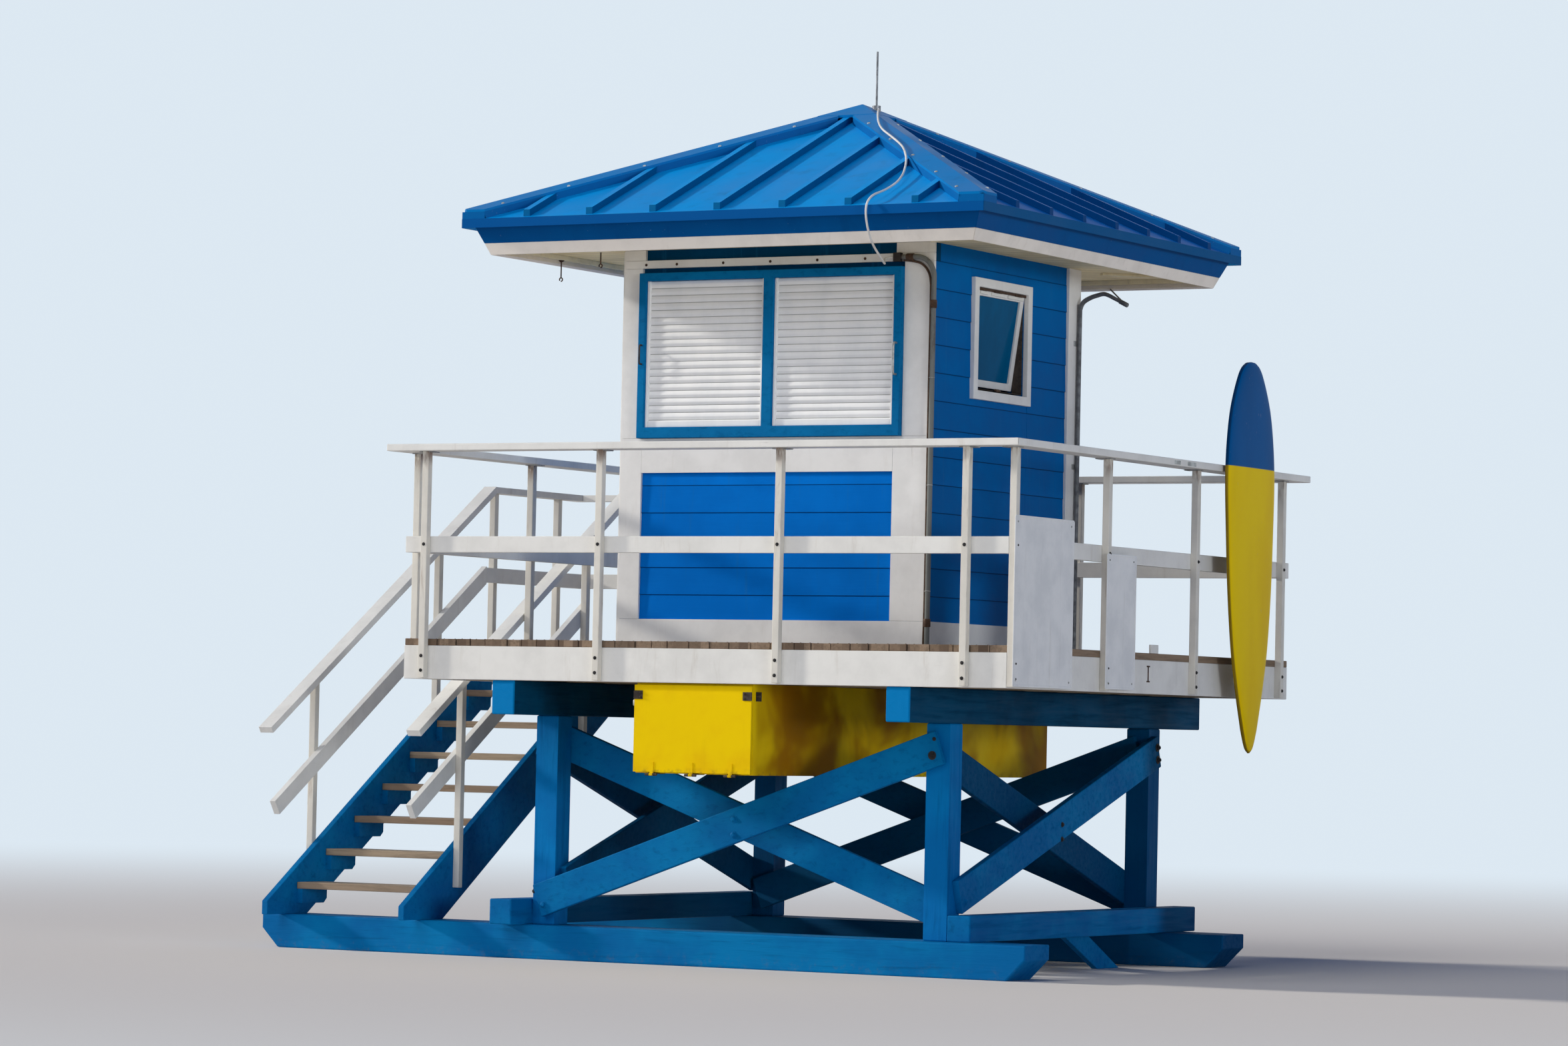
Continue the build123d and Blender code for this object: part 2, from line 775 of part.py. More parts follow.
# lamp arm on the right wall, beside its rear corner
arm_radius = 16
arm_x = corner + arm_radius + 1
arm_y = rear_y - 45
arm_top = soffit_level - 178
arm_points = [
    (arm_x, arm_y, deck_top),
    (arm_x, arm_y, arm_top),
    (arm_x + 150, arm_y, arm_top + 40),
    (arm_x + 307, arm_y, arm_top - 38),
]
save("lamp_arm", [tube(arm_points, arm_radius, arm_radius * 2.6)])

# locker under the deck, open at the front
locker_top = joist_bottom
body_front = locker_front + door_thickness + door_gap
locker = block(locker_left, locker_right, body_front, locker_rear, locker_bottom, locker_top)
locker -= block(
    locker_left + locker_skin,
    locker_right - locker_skin,
    body_front - 5,
    locker_rear - locker_skin,
    locker_bottom + locker_skin,
    locker_top - locker_skin,
)
save("locker_body", [locker])

# drop-down door, its three eyes round the pins of the hinges under its bottom edge
pin_radius = 4
pin_play = 0.08
eye_radius = 7
pin_y = locker_front - eye_radius
pin_z = locker_bottom - eye_radius
hinge_x = [locker_left + share * (locker_right - locker_left) for share in (0.162, 0.5, 0.834)]
door = block(
    locker_left,
    locker_right,
    locker_front,
    locker_front + door_thickness,
    locker_bottom + door_gap,
    locker_top - 12,
)
hinges = []
for x in hinge_x:
    eye = Pos(x, pin_y, pin_z) * Rot(0, 90, 0) * Cylinder(eye_radius, 22)
    strap = block(x - 11, x + 11, locker_front - 4, locker_front, pin_z, locker_bottom + 60)
    bore = Pos(x, pin_y, pin_z) * Rot(0, 90, 0) * Cylinder(pin_radius + pin_play, 30)
    door = door + ((strap + eye) - bore)
    leaf = block(x - 35, x + 35, pin_y, body_front + 60, locker_bottom - 4, locker_bottom)
    leaf -= block(x - 13, x + 13, pin_y - 1, pin_y + eye_radius + 6, locker_bottom - 5, locker_bottom + 1)
    for side in (-1, 1):
        leaf += Pos(x + side * 24, pin_y, pin_z) * Rot(0, 90, 0) * Cylinder(eye_radius, 22)
    leaf += Pos(x, pin_y, pin_z) * Rot(0, 90, 0) * Cylinder(pin_radius, 60)
    hinges.append(leaf)
save("locker_door", [door])
save("locker_hinges", hinges)

# long board on the right rail, its outline as shares of the length and half widths
board_back = board_face - board_thickness
outline = [
    (1.0, 0),
    (0.994, 64),
    (0.965, 148),
    (0.885, 250),
    (0.8, 300),
    (0.7, 320),
    (0.576, 308),
    (0.414, 281),
    (0.269, 233),
    (0.167, 172),
    (0.085, 108),
    (0.02, 48),
    (0.0, 0),
]
side_left = [(board_face, -w, (share - 0.5) * board_length) for share, w in outline]
side_right = [(board_face, w, z) for x, w, z in [(x, -y, z) for x, y, z in reversed(side_left)]]
plate_face = make_face([Spline(*side_left), Spline(*side_right)])
board = extrude(plate_face, amount=-board_thickness, dir=(1, 0, 0))
board = fillet(board.edges(), board_thickness * 0.4)
board_middle = board_bottom + board_length / 2
board = Pos(0, board_y, board_middle) * Rot(board_lean, 0, 0) * board
save("long_board", [board])

# blocks that carry it
block_y0 = board_y - 150
block_y1 = board_y + 150
blocks = [
    block(fascia_out_x, board_back, block_y0, block_y1, joist_bottom + 72, joist_top - 22),
    block(mid_x, board_back, block_y0, block_y1, mid_z0, mid_z1),
]
save("board_blocks", blocks)
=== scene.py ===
import math

import bpy
import numpy as np
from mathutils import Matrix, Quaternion, Vector


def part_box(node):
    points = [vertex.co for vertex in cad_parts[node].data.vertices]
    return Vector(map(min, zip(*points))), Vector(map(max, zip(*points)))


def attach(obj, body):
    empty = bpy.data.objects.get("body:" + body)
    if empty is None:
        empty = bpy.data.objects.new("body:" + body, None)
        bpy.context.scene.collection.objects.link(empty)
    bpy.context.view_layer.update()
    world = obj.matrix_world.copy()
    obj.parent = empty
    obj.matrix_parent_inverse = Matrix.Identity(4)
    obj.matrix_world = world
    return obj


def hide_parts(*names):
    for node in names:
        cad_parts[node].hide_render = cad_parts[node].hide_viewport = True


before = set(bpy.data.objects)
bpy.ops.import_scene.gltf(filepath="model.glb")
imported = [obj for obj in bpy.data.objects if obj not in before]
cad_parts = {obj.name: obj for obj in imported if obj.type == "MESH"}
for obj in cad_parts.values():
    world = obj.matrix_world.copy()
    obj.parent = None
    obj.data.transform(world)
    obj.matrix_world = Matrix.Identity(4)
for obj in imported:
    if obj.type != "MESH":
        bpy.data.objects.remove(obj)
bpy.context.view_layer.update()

SCENE = bpy.context.scene
RANDOM = np.random.default_rng(11)

# Places of the tower in metres, read from the frame
DECK_LOW, DECK_HIGH = (np.array(v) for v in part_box("deck"))
FRONT_LOW, FRONT_HIGH = (np.array(v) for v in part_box("wall_front"))
REAR_HIGH = np.array(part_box("wall_rear")[1])
SHUTTER_LOW, SHUTTER_HIGH = (np.array(v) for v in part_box("shutter_frame"))
WINDOW_LOW, WINDOW_HIGH = (np.array(v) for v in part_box("window_frame"))
DOOR_LOW, DOOR_HIGH = (np.array(v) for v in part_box("entrance_door"))
BOARD_LOW, BOARD_HIGH = (np.array(v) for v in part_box("long_board"))
LOCKER_LOW, LOCKER_HIGH = (np.array(v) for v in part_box("locker_body"))
BRACE_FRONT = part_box("braces")[0][1]
MIDDLE_X = (FRONT_LOW[0] + FRONT_HIGH[0]) / 2
LEFT_X, RIGHT_X = FRONT_LOW[0], FRONT_HIGH[0]
FRONT_Y, REAR_Y = FRONT_LOW[1], REAR_HIGH[1]
DECK_TOP = DECK_HIGH[2]
SOFFIT_Z = FRONT_HIGH[2]

# Sizes in metres. HALF_X and HALF_Y are half the main deck, BASE_TOP is the top of the boards round the
# hut's foot, LAP_LINE is the lower edge of one row of lap boards
BASE_TOP = DECK_TOP + 0.138
HALF_X, HALF_Y = 1.860, 1.775
GUARD_DEPTH = 0.040
LAP_PITCH, LAP_LINE = 0.15125, 2.023
SLAT_COUNT = 20
SLAT_PITCH = (SHUTTER_HIGH[2] - SHUTTER_LOW[2] - 0.104) / SLAT_COUNT
SLAT_START = SHUTTER_LOW[2] + 0.060
ROOF_Y, EAVE_REACH = -0.049, 1.618
APEX_Z, ROOF_RISE = 4.776, 0.436
CORNERS = np.array([(-1, -1), (1, -1), (1, 1), (-1, 1)])

# Middles of the guard posts along each side, measured from the hut's middle
GUARD_FRONT = (-1.724, -0.6045, 0.5078, 1.6219)
GUARD_RIGHT = (-1.7537, -0.6603, 0.4597, 1.6206)
GUARD_LEFT = (-1.640, -0.467, 0.641)


# Camera, light and floor


def placed(name, data):
    """A new object of that name in the scene."""
    obj = bpy.data.objects.new(name, data)
    SCENE.collection.objects.link(obj)
    return obj


def set_camera():
    """The camera stands low, in front and to the right, and leans a little to the left."""
    camera = placed("camera", bpy.data.cameras.new("camera"))
    place, target = Vector((14.5809, -25.7226, 1.2622)), Vector((0.0309, 0.0211, 2.4665))
    lean = Quaternion((0, 0, 1), math.radians(1.239))
    turn = (target - place).to_track_quat("-Z", "Y") @ lean
    camera.location, camera.rotation_mode, camera.rotation_quaternion = place, "QUATERNION", turn
    camera.data.sensor_width, camera.data.lens = 36, 119.5
    camera.data.clip_end = 400
    SCENE.camera = camera


BACKDROP = (0.72, 0.81, 0.89)


def shown_rays(nodes, links):
    """1 where the camera sees the surround by itself, in a gloss or through glass, else 0."""
    path, gloss, shown = (nodes.new("ShaderNode" + kind) for kind in ("LightPath", "Math", "Math"))
    gloss.operation = shown.operation = "MAXIMUM"
    links.new(path.outputs["Is Camera Ray"], gloss.inputs[0])
    links.new(path.outputs["Is Glossy Ray"], gloss.inputs[1])
    links.new(gloss.outputs[0], shown.inputs[0])
    links.new(path.outputs["Is Transmission Ray"], shown.inputs[1])
    return shown.outputs[0]


def mix_shaders(tree, factor, lit, seen, output):
    """The lit shader where the factor is 0 and the seen one where it is 1, on the tree's output."""
    pick = tree.nodes.new("ShaderNodeMixShader")
    for source, socket in zip((factor, lit.outputs[0], seen.outputs[0]), pick.inputs):
        tree.links.new(source, socket)
    tree.links.new(pick.outputs[0], tree.nodes[output].inputs["Surface"])


def set_light():
    """A lamp low on the left, a broad soft one high in front, a weak soft one on the right, and a pale
    surround that is darker and bluer overhead."""
    lamps = (
        ("key", (1, 0.26, -0.385), 2.7, 4, (1.0, 0.95, 0.87)),
        ("front", (0.15, 0.75, -0.65), 1.0, 40, (1.0, 0.98, 0.94)),
        ("fill", (-1, 0.45, -0.03), 0.85, 14, (0.90, 0.95, 1.0)),
    )
    for name, way, energy, angle, color in lamps:
        lamp = placed(name, bpy.data.lights.new(name, "SUN"))
        lamp.data.energy, lamp.data.angle, lamp.data.color = energy, math.radians(angle), color
        lamp.rotation_mode = "QUATERNION"
        lamp.rotation_quaternion = Vector(way).to_track_quat("-Z", "Y")
    world = bpy.data.worlds.new("surround")
    SCENE.world = world
    world.use_nodes = True
    nodes, links = world.node_tree.nodes, world.node_tree.links
    surround, seen = nodes["Background"], nodes.new("ShaderNodeBackground")
    height, rise, blend = (nodes.new("ShaderNode" + kind) for kind in ("SeparateXYZ", "MapRange", "Mix"))
    links.new(nodes.new("ShaderNodeTexCoord").outputs["Generated"], height.inputs[0])
    links.new(height.outputs["Z"], rise.inputs["Value"])
    rise.inputs["From Min"].default_value, rise.inputs["From Max"].default_value = 0.0, 0.26
    links.new(rise.outputs["Result"], blend.inputs["Factor"])
    blend.data_type = "RGBA"
    blend.inputs["A"].default_value = (0.74, 0.79, 0.88, 1)
    blend.inputs["B"].default_value = (0.01, 0.035, 0.13, 1)
    links.new(blend.outputs["Result"], surround.inputs["Color"])
    seen.inputs["Color"].default_value = (*BACKDROP, 1)
    mix_shaders(world.node_tree, shown_rays(nodes, links), surround, seen, "World Output")
    SCENE.view_settings.view_transform = "Standard"


def set_floor():
    """A wide round floor whose warm white turns into the backdrop's own colour away from the tower."""
    turn = np.linspace(0, 2 * np.pi, 96, endpoint=False)
    rim = np.stack([90 * np.cos(turn), 90 * np.sin(turn), np.zeros(96)], axis=1)
    mesh = bpy.data.meshes.new("floor")
    mesh.from_pydata(rim.tolist(), [], [list(range(96))])
    floor = placed("floor", mesh)
    material = bpy.data.materials.new("pale_floor")
    material.use_nodes = True
    nodes, links = material.node_tree.nodes, material.node_tree.links
    shader = nodes["Principled BSDF"]
    shader.inputs["Roughness"].default_value = 0.9
    shader.inputs["Specular IOR Level"].default_value = 0.1
    shader.inputs["Base Color"].default_value = (0.84, 0.80, 0.74, 1)
    glow = nodes.new("ShaderNodeEmission")
    glow.inputs["Color"].default_value = (*BACKDROP, 1)
    far, fade = nodes.new("ShaderNodeVectorMath"), nodes.new("ShaderNodeMapRange")
    far.operation = "LENGTH"
    fade.interpolation_type = "SMOOTHSTEP"
    fade.inputs["From Min"].default_value, fade.inputs["From Max"].default_value = 4, 26
    seen = nodes.new("ShaderNodeMath")
    seen.operation = "MULTIPLY"
    links.new(nodes.new("ShaderNodeTexCoord").outputs["Object"], far.inputs[0])
    links.new(far.outputs["Value"], fade.inputs["Value"])
    links.new(fade.outputs["Result"], seen.inputs[0])
    links.new(shown_rays(nodes, links), seen.inputs[1])
    mix_shaders(material.node_tree, seen.outputs[0], shader, glow, "Material Output")
    mesh.materials.append(material)


set_camera()
set_light()
set_floor()


# Finishes


class Finish:
    """One node material while it is put together. Each method adds a node and returns its output."""

    def __init__(self, name, roughness=0.6, metallic=0.0, coat=0.0, specular=0.5):
        """A new material with its plain values, and the outputs that its patterns start from."""
        self.material = bpy.data.materials.new(name)
        self.material.use_nodes = True
        self.nodes = self.material.node_tree.nodes
        self.links = self.material.node_tree.links
        self.shader = self.nodes["Principled BSDF"]
        self.shader.inputs["Roughness"].default_value = roughness
        self.shader.inputs["Metallic"].default_value = metallic
        self.shader.inputs["Coat Weight"].default_value = coat
        self.shader.inputs["Coat Roughness"].default_value = 0.12
        self.shader.inputs["Specular IOR Level"].default_value = specular
        self.place = self.nodes.new("ShaderNodeTexCoord").outputs["Object"]
        parts = self.nodes.new("ShaderNodeSeparateXYZ")
        self.links.new(self.place, parts.inputs[0])
        self.x, self.y, self.z = parts.outputs
        facing = self.nodes.new("ShaderNodeSeparateXYZ")
        self.links.new(self.nodes.new("ShaderNodeNewGeometry").outputs["Normal"], facing.inputs[0])
        self.face_up = facing.outputs["Z"]

    def feed(self, socket, value):
        """Links an output to the socket, or sets a plain number or colour on it."""
        if isinstance(value, bpy.types.NodeSocket):
            self.links.new(value, socket)
        elif socket.type == "RGBA":
            socket.default_value = (*value[:3], 1)
        else:
            socket.default_value = value

    def math(self, operation, first, second=0.0):
        """One Math node of the given operation."""
        node = self.nodes.new("ShaderNodeMath")
        node.operation = operation
        self.feed(node.inputs[0], first)
        self.feed(node.inputs[1], second)
        return node.outputs[0]

    def times(self, first, second):
        """The product of two values."""
        return self.math("MULTIPLY", first, second)

    def spread(self, value, low, high, start=0.0, end=1.0):
        """Maps low..high of the value smoothly onto start..end."""
        node = self.nodes.new("ShaderNodeMapRange")
        node.interpolation_type = "SMOOTHSTEP"
        for socket, number in zip(node.inputs[:5], (value, low, high, start, end)):
            self.feed(socket, number)
        return node.outputs["Result"]

    def noise(self, scale, stretch=(1, 1, 1), detail=3.0, rough=0.55, bend=0.0):
        """Noise whose grain is finer along an axis with a larger stretch."""
        mapping, node = self.nodes.new("ShaderNodeMapping"), self.nodes.new("ShaderNodeTexNoise")
        self.links.new(self.place, mapping.inputs["Vector"])
        mapping.inputs["Scale"].default_value = stretch
        self.links.new(mapping.outputs[0], node.inputs["Vector"])
        for key, number in (("Scale", scale), ("Detail", detail), ("Roughness", rough), ("Distortion", bend)):
            node.inputs[key].default_value = number
        return node.outputs["Fac"]

    def each(self, value, pitch, start=0.0):
        """A random number for each board, slat or step of that pitch along the value."""
        node = self.nodes.new("ShaderNodeTexWhiteNoise")
        node.noise_dimensions = "1D"
        step = self.math("FLOOR", self.math("DIVIDE", self.math("SUBTRACT", value, start), pitch))
        self.links.new(step, node.inputs["W"])
        return node.outputs["Value"]

    def mix(self, factor, first, second):
        """The first colour where the factor is 0, the second where it is 1."""
        node = self.nodes.new("ShaderNodeMix")
        node.data_type = "RGBA"
        self.feed(node.inputs["Factor"], factor)
        self.feed(node.inputs["A"], first)
        self.feed(node.inputs["B"], second)
        return node.outputs["Result"]

    def relief(self, height, distance, strength=1.0):
        """Lets the height show as small relief in the surface."""
        node = self.nodes.new("ShaderNodeBump")
        node.inputs["Distance"].default_value = distance
        node.inputs["Strength"].default_value = strength
        self.feed(node.inputs["Height"], height)
        self.links.new(node.outputs[0], self.shader.inputs["Normal"])

    def done(self, color, roughness=None):
        """Sets colour and roughness, and hands over the material."""
        self.feed(self.shader.inputs["Base Color"], color)
        if roughness is not None:
            self.feed(self.shader.inputs["Roughness"], roughness)
        return self.material


def darker(tone, share):
    """That share of a colour."""
    return tuple(share * c for c in tone)


GRAIN = {
    "x": (0.06, 1, 1),
    "y": (1, 0.06, 1),
    "z": (1, 1, 0.06),
    "all": (0.6, 1, 1),
}


def painted_timber(name, grain="x", paint=(0.0, 0.125, 0.35), faded=(0.0, 0.18, 0.43), worn=0.68,
                   under_deck_shade=False, unshaded_end=None):
    """Paint on sawn timber: faded in patches, cracked along the grain, chipped to pale wood here and there.
    With under_deck_shade it is painted darker under the deck, which is painted shade, and it is dirty
    at the ground. Up to the y unshaded_end it keeps the lighter blue of timber out of that shade."""
    f = Finish(name, roughness=0.6, specular=0.05)
    fibre = f.noise(34, GRAIN[grain], 6, 0.65, 0.4)
    patch = f.noise(1.9, (1, 1, 1), 4, 0.6)
    color = f.mix(f.spread(patch, 0.36, 0.68), paint, faded)
    color = f.mix(f.spread(fibre, 0.50, 0.75, 0, 0.5), color, darker(paint, 0.5))
    chips = f.spread(f.noise(17, GRAIN[grain], 7, 0.7, 0.6), worn, worn + 0.04)
    color = f.mix(f.times(chips, f.spread(patch, 0.46, 0.62)), color, (0.34, 0.32, 0.26))
    if under_deck_shade:
        # Painted shade: timber under the deck and along the rear is painted much darker
        inner = f.times(f.spread(f.y, -1.16, -0.95), f.spread(f.x, MIDDLE_X + 1.20, MIDDLE_X + 1.28, 1, 0))
        painted_shade_zone = f.math("MAXIMUM", inner, f.spread(f.y, 0.95, 1.15))
        dark = f.times(painted_shade_zone, f.spread(f.x, -1.5, -1.0))
        color = f.mix(f.times(dark, 0.72), color, darker(paint, 0.22))
        grit = f.times(f.spread(f.z, 0.10, 0.0), f.spread(f.noise(30, (1, 1, 1), 6, 0.7), 0.5, 0.75))
        color = f.mix(f.times(grit, 0.3), color, (0.12, 0.13, 0.12))
    # Painted light: the end up to unshaded_end gets the lighter blue of lit timber
    if unshaded_end is not None:
        color = f.mix(f.spread(f.y, unshaded_end + 0.008, unshaded_end + 0.014, 1, 0), color, (0.0, 0.20, 0.50))
    f.relief(f.math("ADD", fibre, f.times(chips, -0.8)), 0.003, 0.7)
    return f.done(color, f.spread(fibre, 0.3, 0.7, 0.5, 0.75))


def white_paint(name, grain="x", paint=(0.83, 0.82, 0.77), stain=(0.42, 0.35, 0.26), soil=0.3, rust_z=None):
    """Old white paint: faint grey and brown stains, hairline cracks along the grain and small chips."""
    f = Finish(name, roughness=0.5, specular=0.25)
    fibre = f.noise(40, GRAIN[grain], 6, 0.65, 0.3)
    cloud = f.noise(4.2, (1, 1, 1), 5, 0.62)
    streak = f.noise(16, (1, 1, 0.12), 6, 0.7, 0.5)
    color = f.mix(f.spread(cloud, 0.36, 0.7), paint, darker(paint, 0.9))
    color = f.mix(f.times(f.spread(streak, 0.55, 0.8), soil), color, stain)
    cracks = f.spread(fibre, 0.66, 0.72)
    color = f.mix(f.times(cracks, 0.6 * soil), color, (0.20, 0.15, 0.10))
    if rust_z is not None:
        eaten = f.spread(f.noise(24, (1, 1, 0.3), 6), 0.42, 0.6)
        ring = f.times(f.spread(f.z, rust_z - 0.13, rust_z), eaten)
        color = f.mix(f.times(ring, 0.8), color, (0.15, 0.065, 0.03))
    f.relief(f.math("SUBTRACT", f.times(fibre, 0.5), cracks), 0.0015, 0.5)
    return f.done(color, f.spread(cloud, 0.3, 0.7, 0.45, 0.62))


def bare_boards(name, across, pitch, grain, start=0.0,
                tone=(0.30, 0.215, 0.145), dark=(0.115, 0.075, 0.05)):
    """Weathered boards, each of its own brown, with open grain and grey tops."""
    f = Finish(name, roughness=0.8, specular=0.2)
    value = {"x": f.x, "y": f.y, "z": f.z}[across]
    own = f.each(value, pitch, start)
    fibre = f.noise(46, GRAIN[grain], 7, 0.7, 0.5)
    color = f.mix(own, tone, dark)
    color = f.mix(f.spread(fibre, 0.42, 0.72, 0, 0.7), color, darker(tone, 0.38))
    patch = f.spread(f.noise(3.1, (1, 1, 1), 4), 0.3, 0.7, 0.15, 0.6)
    bleached = f.times(f.spread(f.face_up, 0.4, 0.9), patch)
    color = f.mix(bleached, color, (0.33, 0.30, 0.26))
    f.relief(fibre, 0.004, 0.9)
    return f.done(color)


def blue_siding(name, paint=(0.0, 0.122, 0.40), faded=(0.0, 0.155, 0.48)):
    """Deep blue lap boards, each a little different, chalky in clouds, with drips under the laps."""
    f = Finish(name, roughness=0.5, specular=0.02)
    own = f.each(f.z, LAP_PITCH, LAP_LINE)
    cloud = f.noise(2.6, (1, 1, 1), 5, 0.6)
    color = f.mix(f.spread(cloud, 0.34, 0.7), paint, faded)
    color = f.mix(f.times(own, 0.3), color, darker(paint, 0.66))
    drips = f.noise(30, (1, 1, 0.05), 5, 0.6)
    color = f.mix(f.spread(drips, 0.58, 0.8, 0, 0.35), color, (0.02, 0.15, 0.38))
    lap = f.math("PINGPONG", f.math("SUBTRACT", f.z, LAP_LINE), LAP_PITCH / 2)
    color = f.mix(f.spread(lap, 0.001, 0.004, 0.75, 0), color, darker(paint, 0.2))
    fibre = f.noise(60, (0.07, 0.07, 1), 5, 0.6)
    f.relief(f.math("ADD", fibre, cloud), 0.0012, 0.5)
    return f.done(color, f.spread(cloud, 0.3, 0.7, 0.45, 0.62))


def roof_paint(name, paint, pale, gloss=0.4, along=(1, 1, 0.3), edge=None, rib_side_shade=0.0):
    """Baked blue paint on sheet metal with slight dents, dull clouds, faint runs of dirt and painted shade on
    rib sides.
    The edge colour is that of the drip edge, past the reach of the eave."""
    f = Finish(name, roughness=gloss, specular=0.035)
    cloud = f.noise(1.7, (1, 1, 1), 4, 0.55)
    runs = f.noise(9, along, 5, 0.6, 0.2)
    specks = f.noise(70, (1, 1, 1), 3, 0.6)
    color = f.mix(f.spread(cloud, 0.35, 0.68, 0, 0.6), paint, pale)
    color = f.mix(f.spread(runs, 0.52, 0.8, 0, 0.4), color, darker(paint, 0.55))
    color = f.mix(f.spread(specks, 0.69, 0.75, 0, 0.3), color, (0.30, 0.38, 0.48))
    # Painted shade: steep faces, such as the sides and ends of the ribs, are painted darker
    steep = f.spread(f.math("ABSOLUTE", f.face_up), 0.5, 0.3, 0, rib_side_shade)
    color = f.mix(steep, color, darker(paint, 0.22))
    if edge:
        out_x = f.math("ABSOLUTE", f.math("SUBTRACT", f.x, MIDDLE_X))
        out_y = f.math("ABSOLUTE", f.math("SUBTRACT", f.y, ROOF_Y))
        past_eave = f.math("GREATER_THAN", f.math("MAXIMUM", out_x, out_y), EAVE_REACH + 0.0005)
        color = f.mix(past_eave, color, edge)
    f.relief(f.noise(4.2, (1, 1, 1), 2, 0.4), 0.005, 0.3)
    return f.done(color, f.spread(cloud, 0.3, 0.7, gloss, gloss + 0.15))


def soffit_boards(name):
    """Cream boards with a groove every tenth of a metre."""
    f = Finish(name, roughness=0.65, specular=0.25)
    cloud = f.noise(4.0, (1, 1, 1), 5, 0.6)
    color = f.mix(f.spread(cloud, 0.35, 0.7), (0.94, 0.80, 0.48), (0.80, 0.66, 0.36))
    groove = f.math("PINGPONG", f.y, 0.05)
    line = f.spread(groove, 0.0015, 0.0045, 1, 0)
    color = f.mix(f.times(line, 0.75), color, (0.10, 0.075, 0.04))
    f.relief(line, 0.003, -0.8)
    return f.done(color)


def slat_paint(name, joints=None):
    """White slats, grey in their joints, with a few dull rubs."""
    f = Finish(name, roughness=0.45, specular=0.3)
    cloud = f.noise(5, (1, 1, 0.4), 5, 0.6)
    rub = f.noise(22, (0.15, 1, 1), 6, 0.7)
    color = f.mix(f.spread(cloud, 0.36, 0.7), (0.89, 0.89, 0.88), (0.81, 0.82, 0.82))
    color = f.mix(f.spread(rub, 0.62, 0.8, 0, 0.35), color, (0.42, 0.41, 0.38))
    if joints:
        start, pitch = joints
        near = f.math("PINGPONG", f.math("SUBTRACT", f.z, start), pitch / 2)
        color = f.mix(f.spread(near, 0.0, 0.0030, 0.7, 0), color, (0.20, 0.19, 0.18))
    f.relief(cloud, 0.001, 0.3)
    return f.done(color)


def bare_metal(name, tone, rust=0.3, roughness=0.42, metallic=0.85):
    """Galvanised or blackened metal, mottled, with brown rust in its low spots."""
    f = Finish(name, roughness=roughness, metallic=metallic)
    cloud = f.noise(26, (1, 1, 1), 5, 0.65)
    fine = f.noise(120, (1, 1, 1), 3, 0.6)
    color = f.mix(f.spread(cloud, 0.36, 0.66), tone, darker(tone, 0.62))
    color = f.mix(f.spread(fine, 0.66 - 0.2 * rust, 0.78, 0, min(1.0, 2 * rust)), color, (0.16, 0.06, 0.022))
    f.relief(fine, 0.0006, 0.6)
    return f.done(color, f.spread(cloud, 0.3, 0.7, roughness, roughness + 0.25))


def plain_paint(name, paint, dirt, roughness=0.4, coat=0.0, soil=0.5):
    """A painted or moulded thing with slight unevenness, scuffs and dust."""
    f = Finish(name, roughness=roughness, coat=coat)
    cloud = f.noise(7, (1, 1, 1), 5, 0.6)
    scuff = f.noise(38, (1, 1, 0.3), 6, 0.7)
    color = f.mix(f.spread(cloud, 0.38, 0.7, 0, 0.8), paint, darker(paint, 0.8))
    color = f.mix(f.times(f.spread(scuff, 0.56, 0.74), soil), color, dirt)
    f.relief(f.math("ADD", cloud, scuff), 0.001, 0.4)
    return f.done(color, f.spread(cloud, 0.3, 0.7, roughness, roughness + 0.15))


def conduit_paint(name):
    """Dull grey pipe with brown stains; its fitting above the shutters is nearly black."""
    f = Finish(name, roughness=0.6, specular=0.2)
    stain = f.spread(f.noise(16, (1, 1, 0.3), 6, 0.7), 0.5, 0.72)
    color = f.mix(f.times(stain, 0.65), (0.17, 0.18, 0.17), (0.07, 0.045, 0.028))
    fitting = f.spread(f.x, MIDDLE_X + 0.796, MIDDLE_X + 0.800, 1, 0)
    return f.done(f.mix(fitting, color, (0.035, 0.028, 0.024)))


def yellow_paint(name):
    """Yellow brushed paint with faint ochre runs, painted shade in broad clouds on its side, brown at the
    lower edge.
    """
    f = Finish(name, roughness=0.5, specular=0.03)
    cloud = f.noise(3.2, (1, 1, 1), 5, 0.6)
    runs = f.noise(8, (1, 1, 0.22), 6, 0.68, 0.8)
    color = f.mix(f.spread(cloud, 0.36, 0.7), (0.90, 0.62, 0.002), (0.84, 0.52, 0.002))
    # Painted shade on the side in broad clouds; the lighter gaps between them are painted patches of sun
    side = f.spread(f.y, LOCKER_LOW[1] + 0.01, LOCKER_LOW[1] + 0.06)
    side_shade_patches = f.spread(f.noise(1.7, (1, 1, 1), 3, 0.5, 0.4), 0.38, 0.60, 0.12, 1.0)
    color = f.mix(f.times(side_shade_patches, side), color, (0.36, 0.155, 0.0))
    color = f.mix(f.times(f.spread(runs, 0.5, 0.8), 0.12), color, (0.36, 0.18, 0.008))
    foot = f.spread(f.z, LOCKER_LOW[2] + 0.04, LOCKER_LOW[2])
    foot = f.times(foot, f.spread(f.noise(30), 0.45, 0.66))
    color = f.mix(f.times(foot, 0.5), color, (0.20, 0.10, 0.02))
    f.relief(f.noise(60, (0.12, 1, 1), 4, 0.6), 0.0012, 0.4)
    return f.done(color, f.spread(cloud, 0.3, 0.7, 0.42, 0.6))


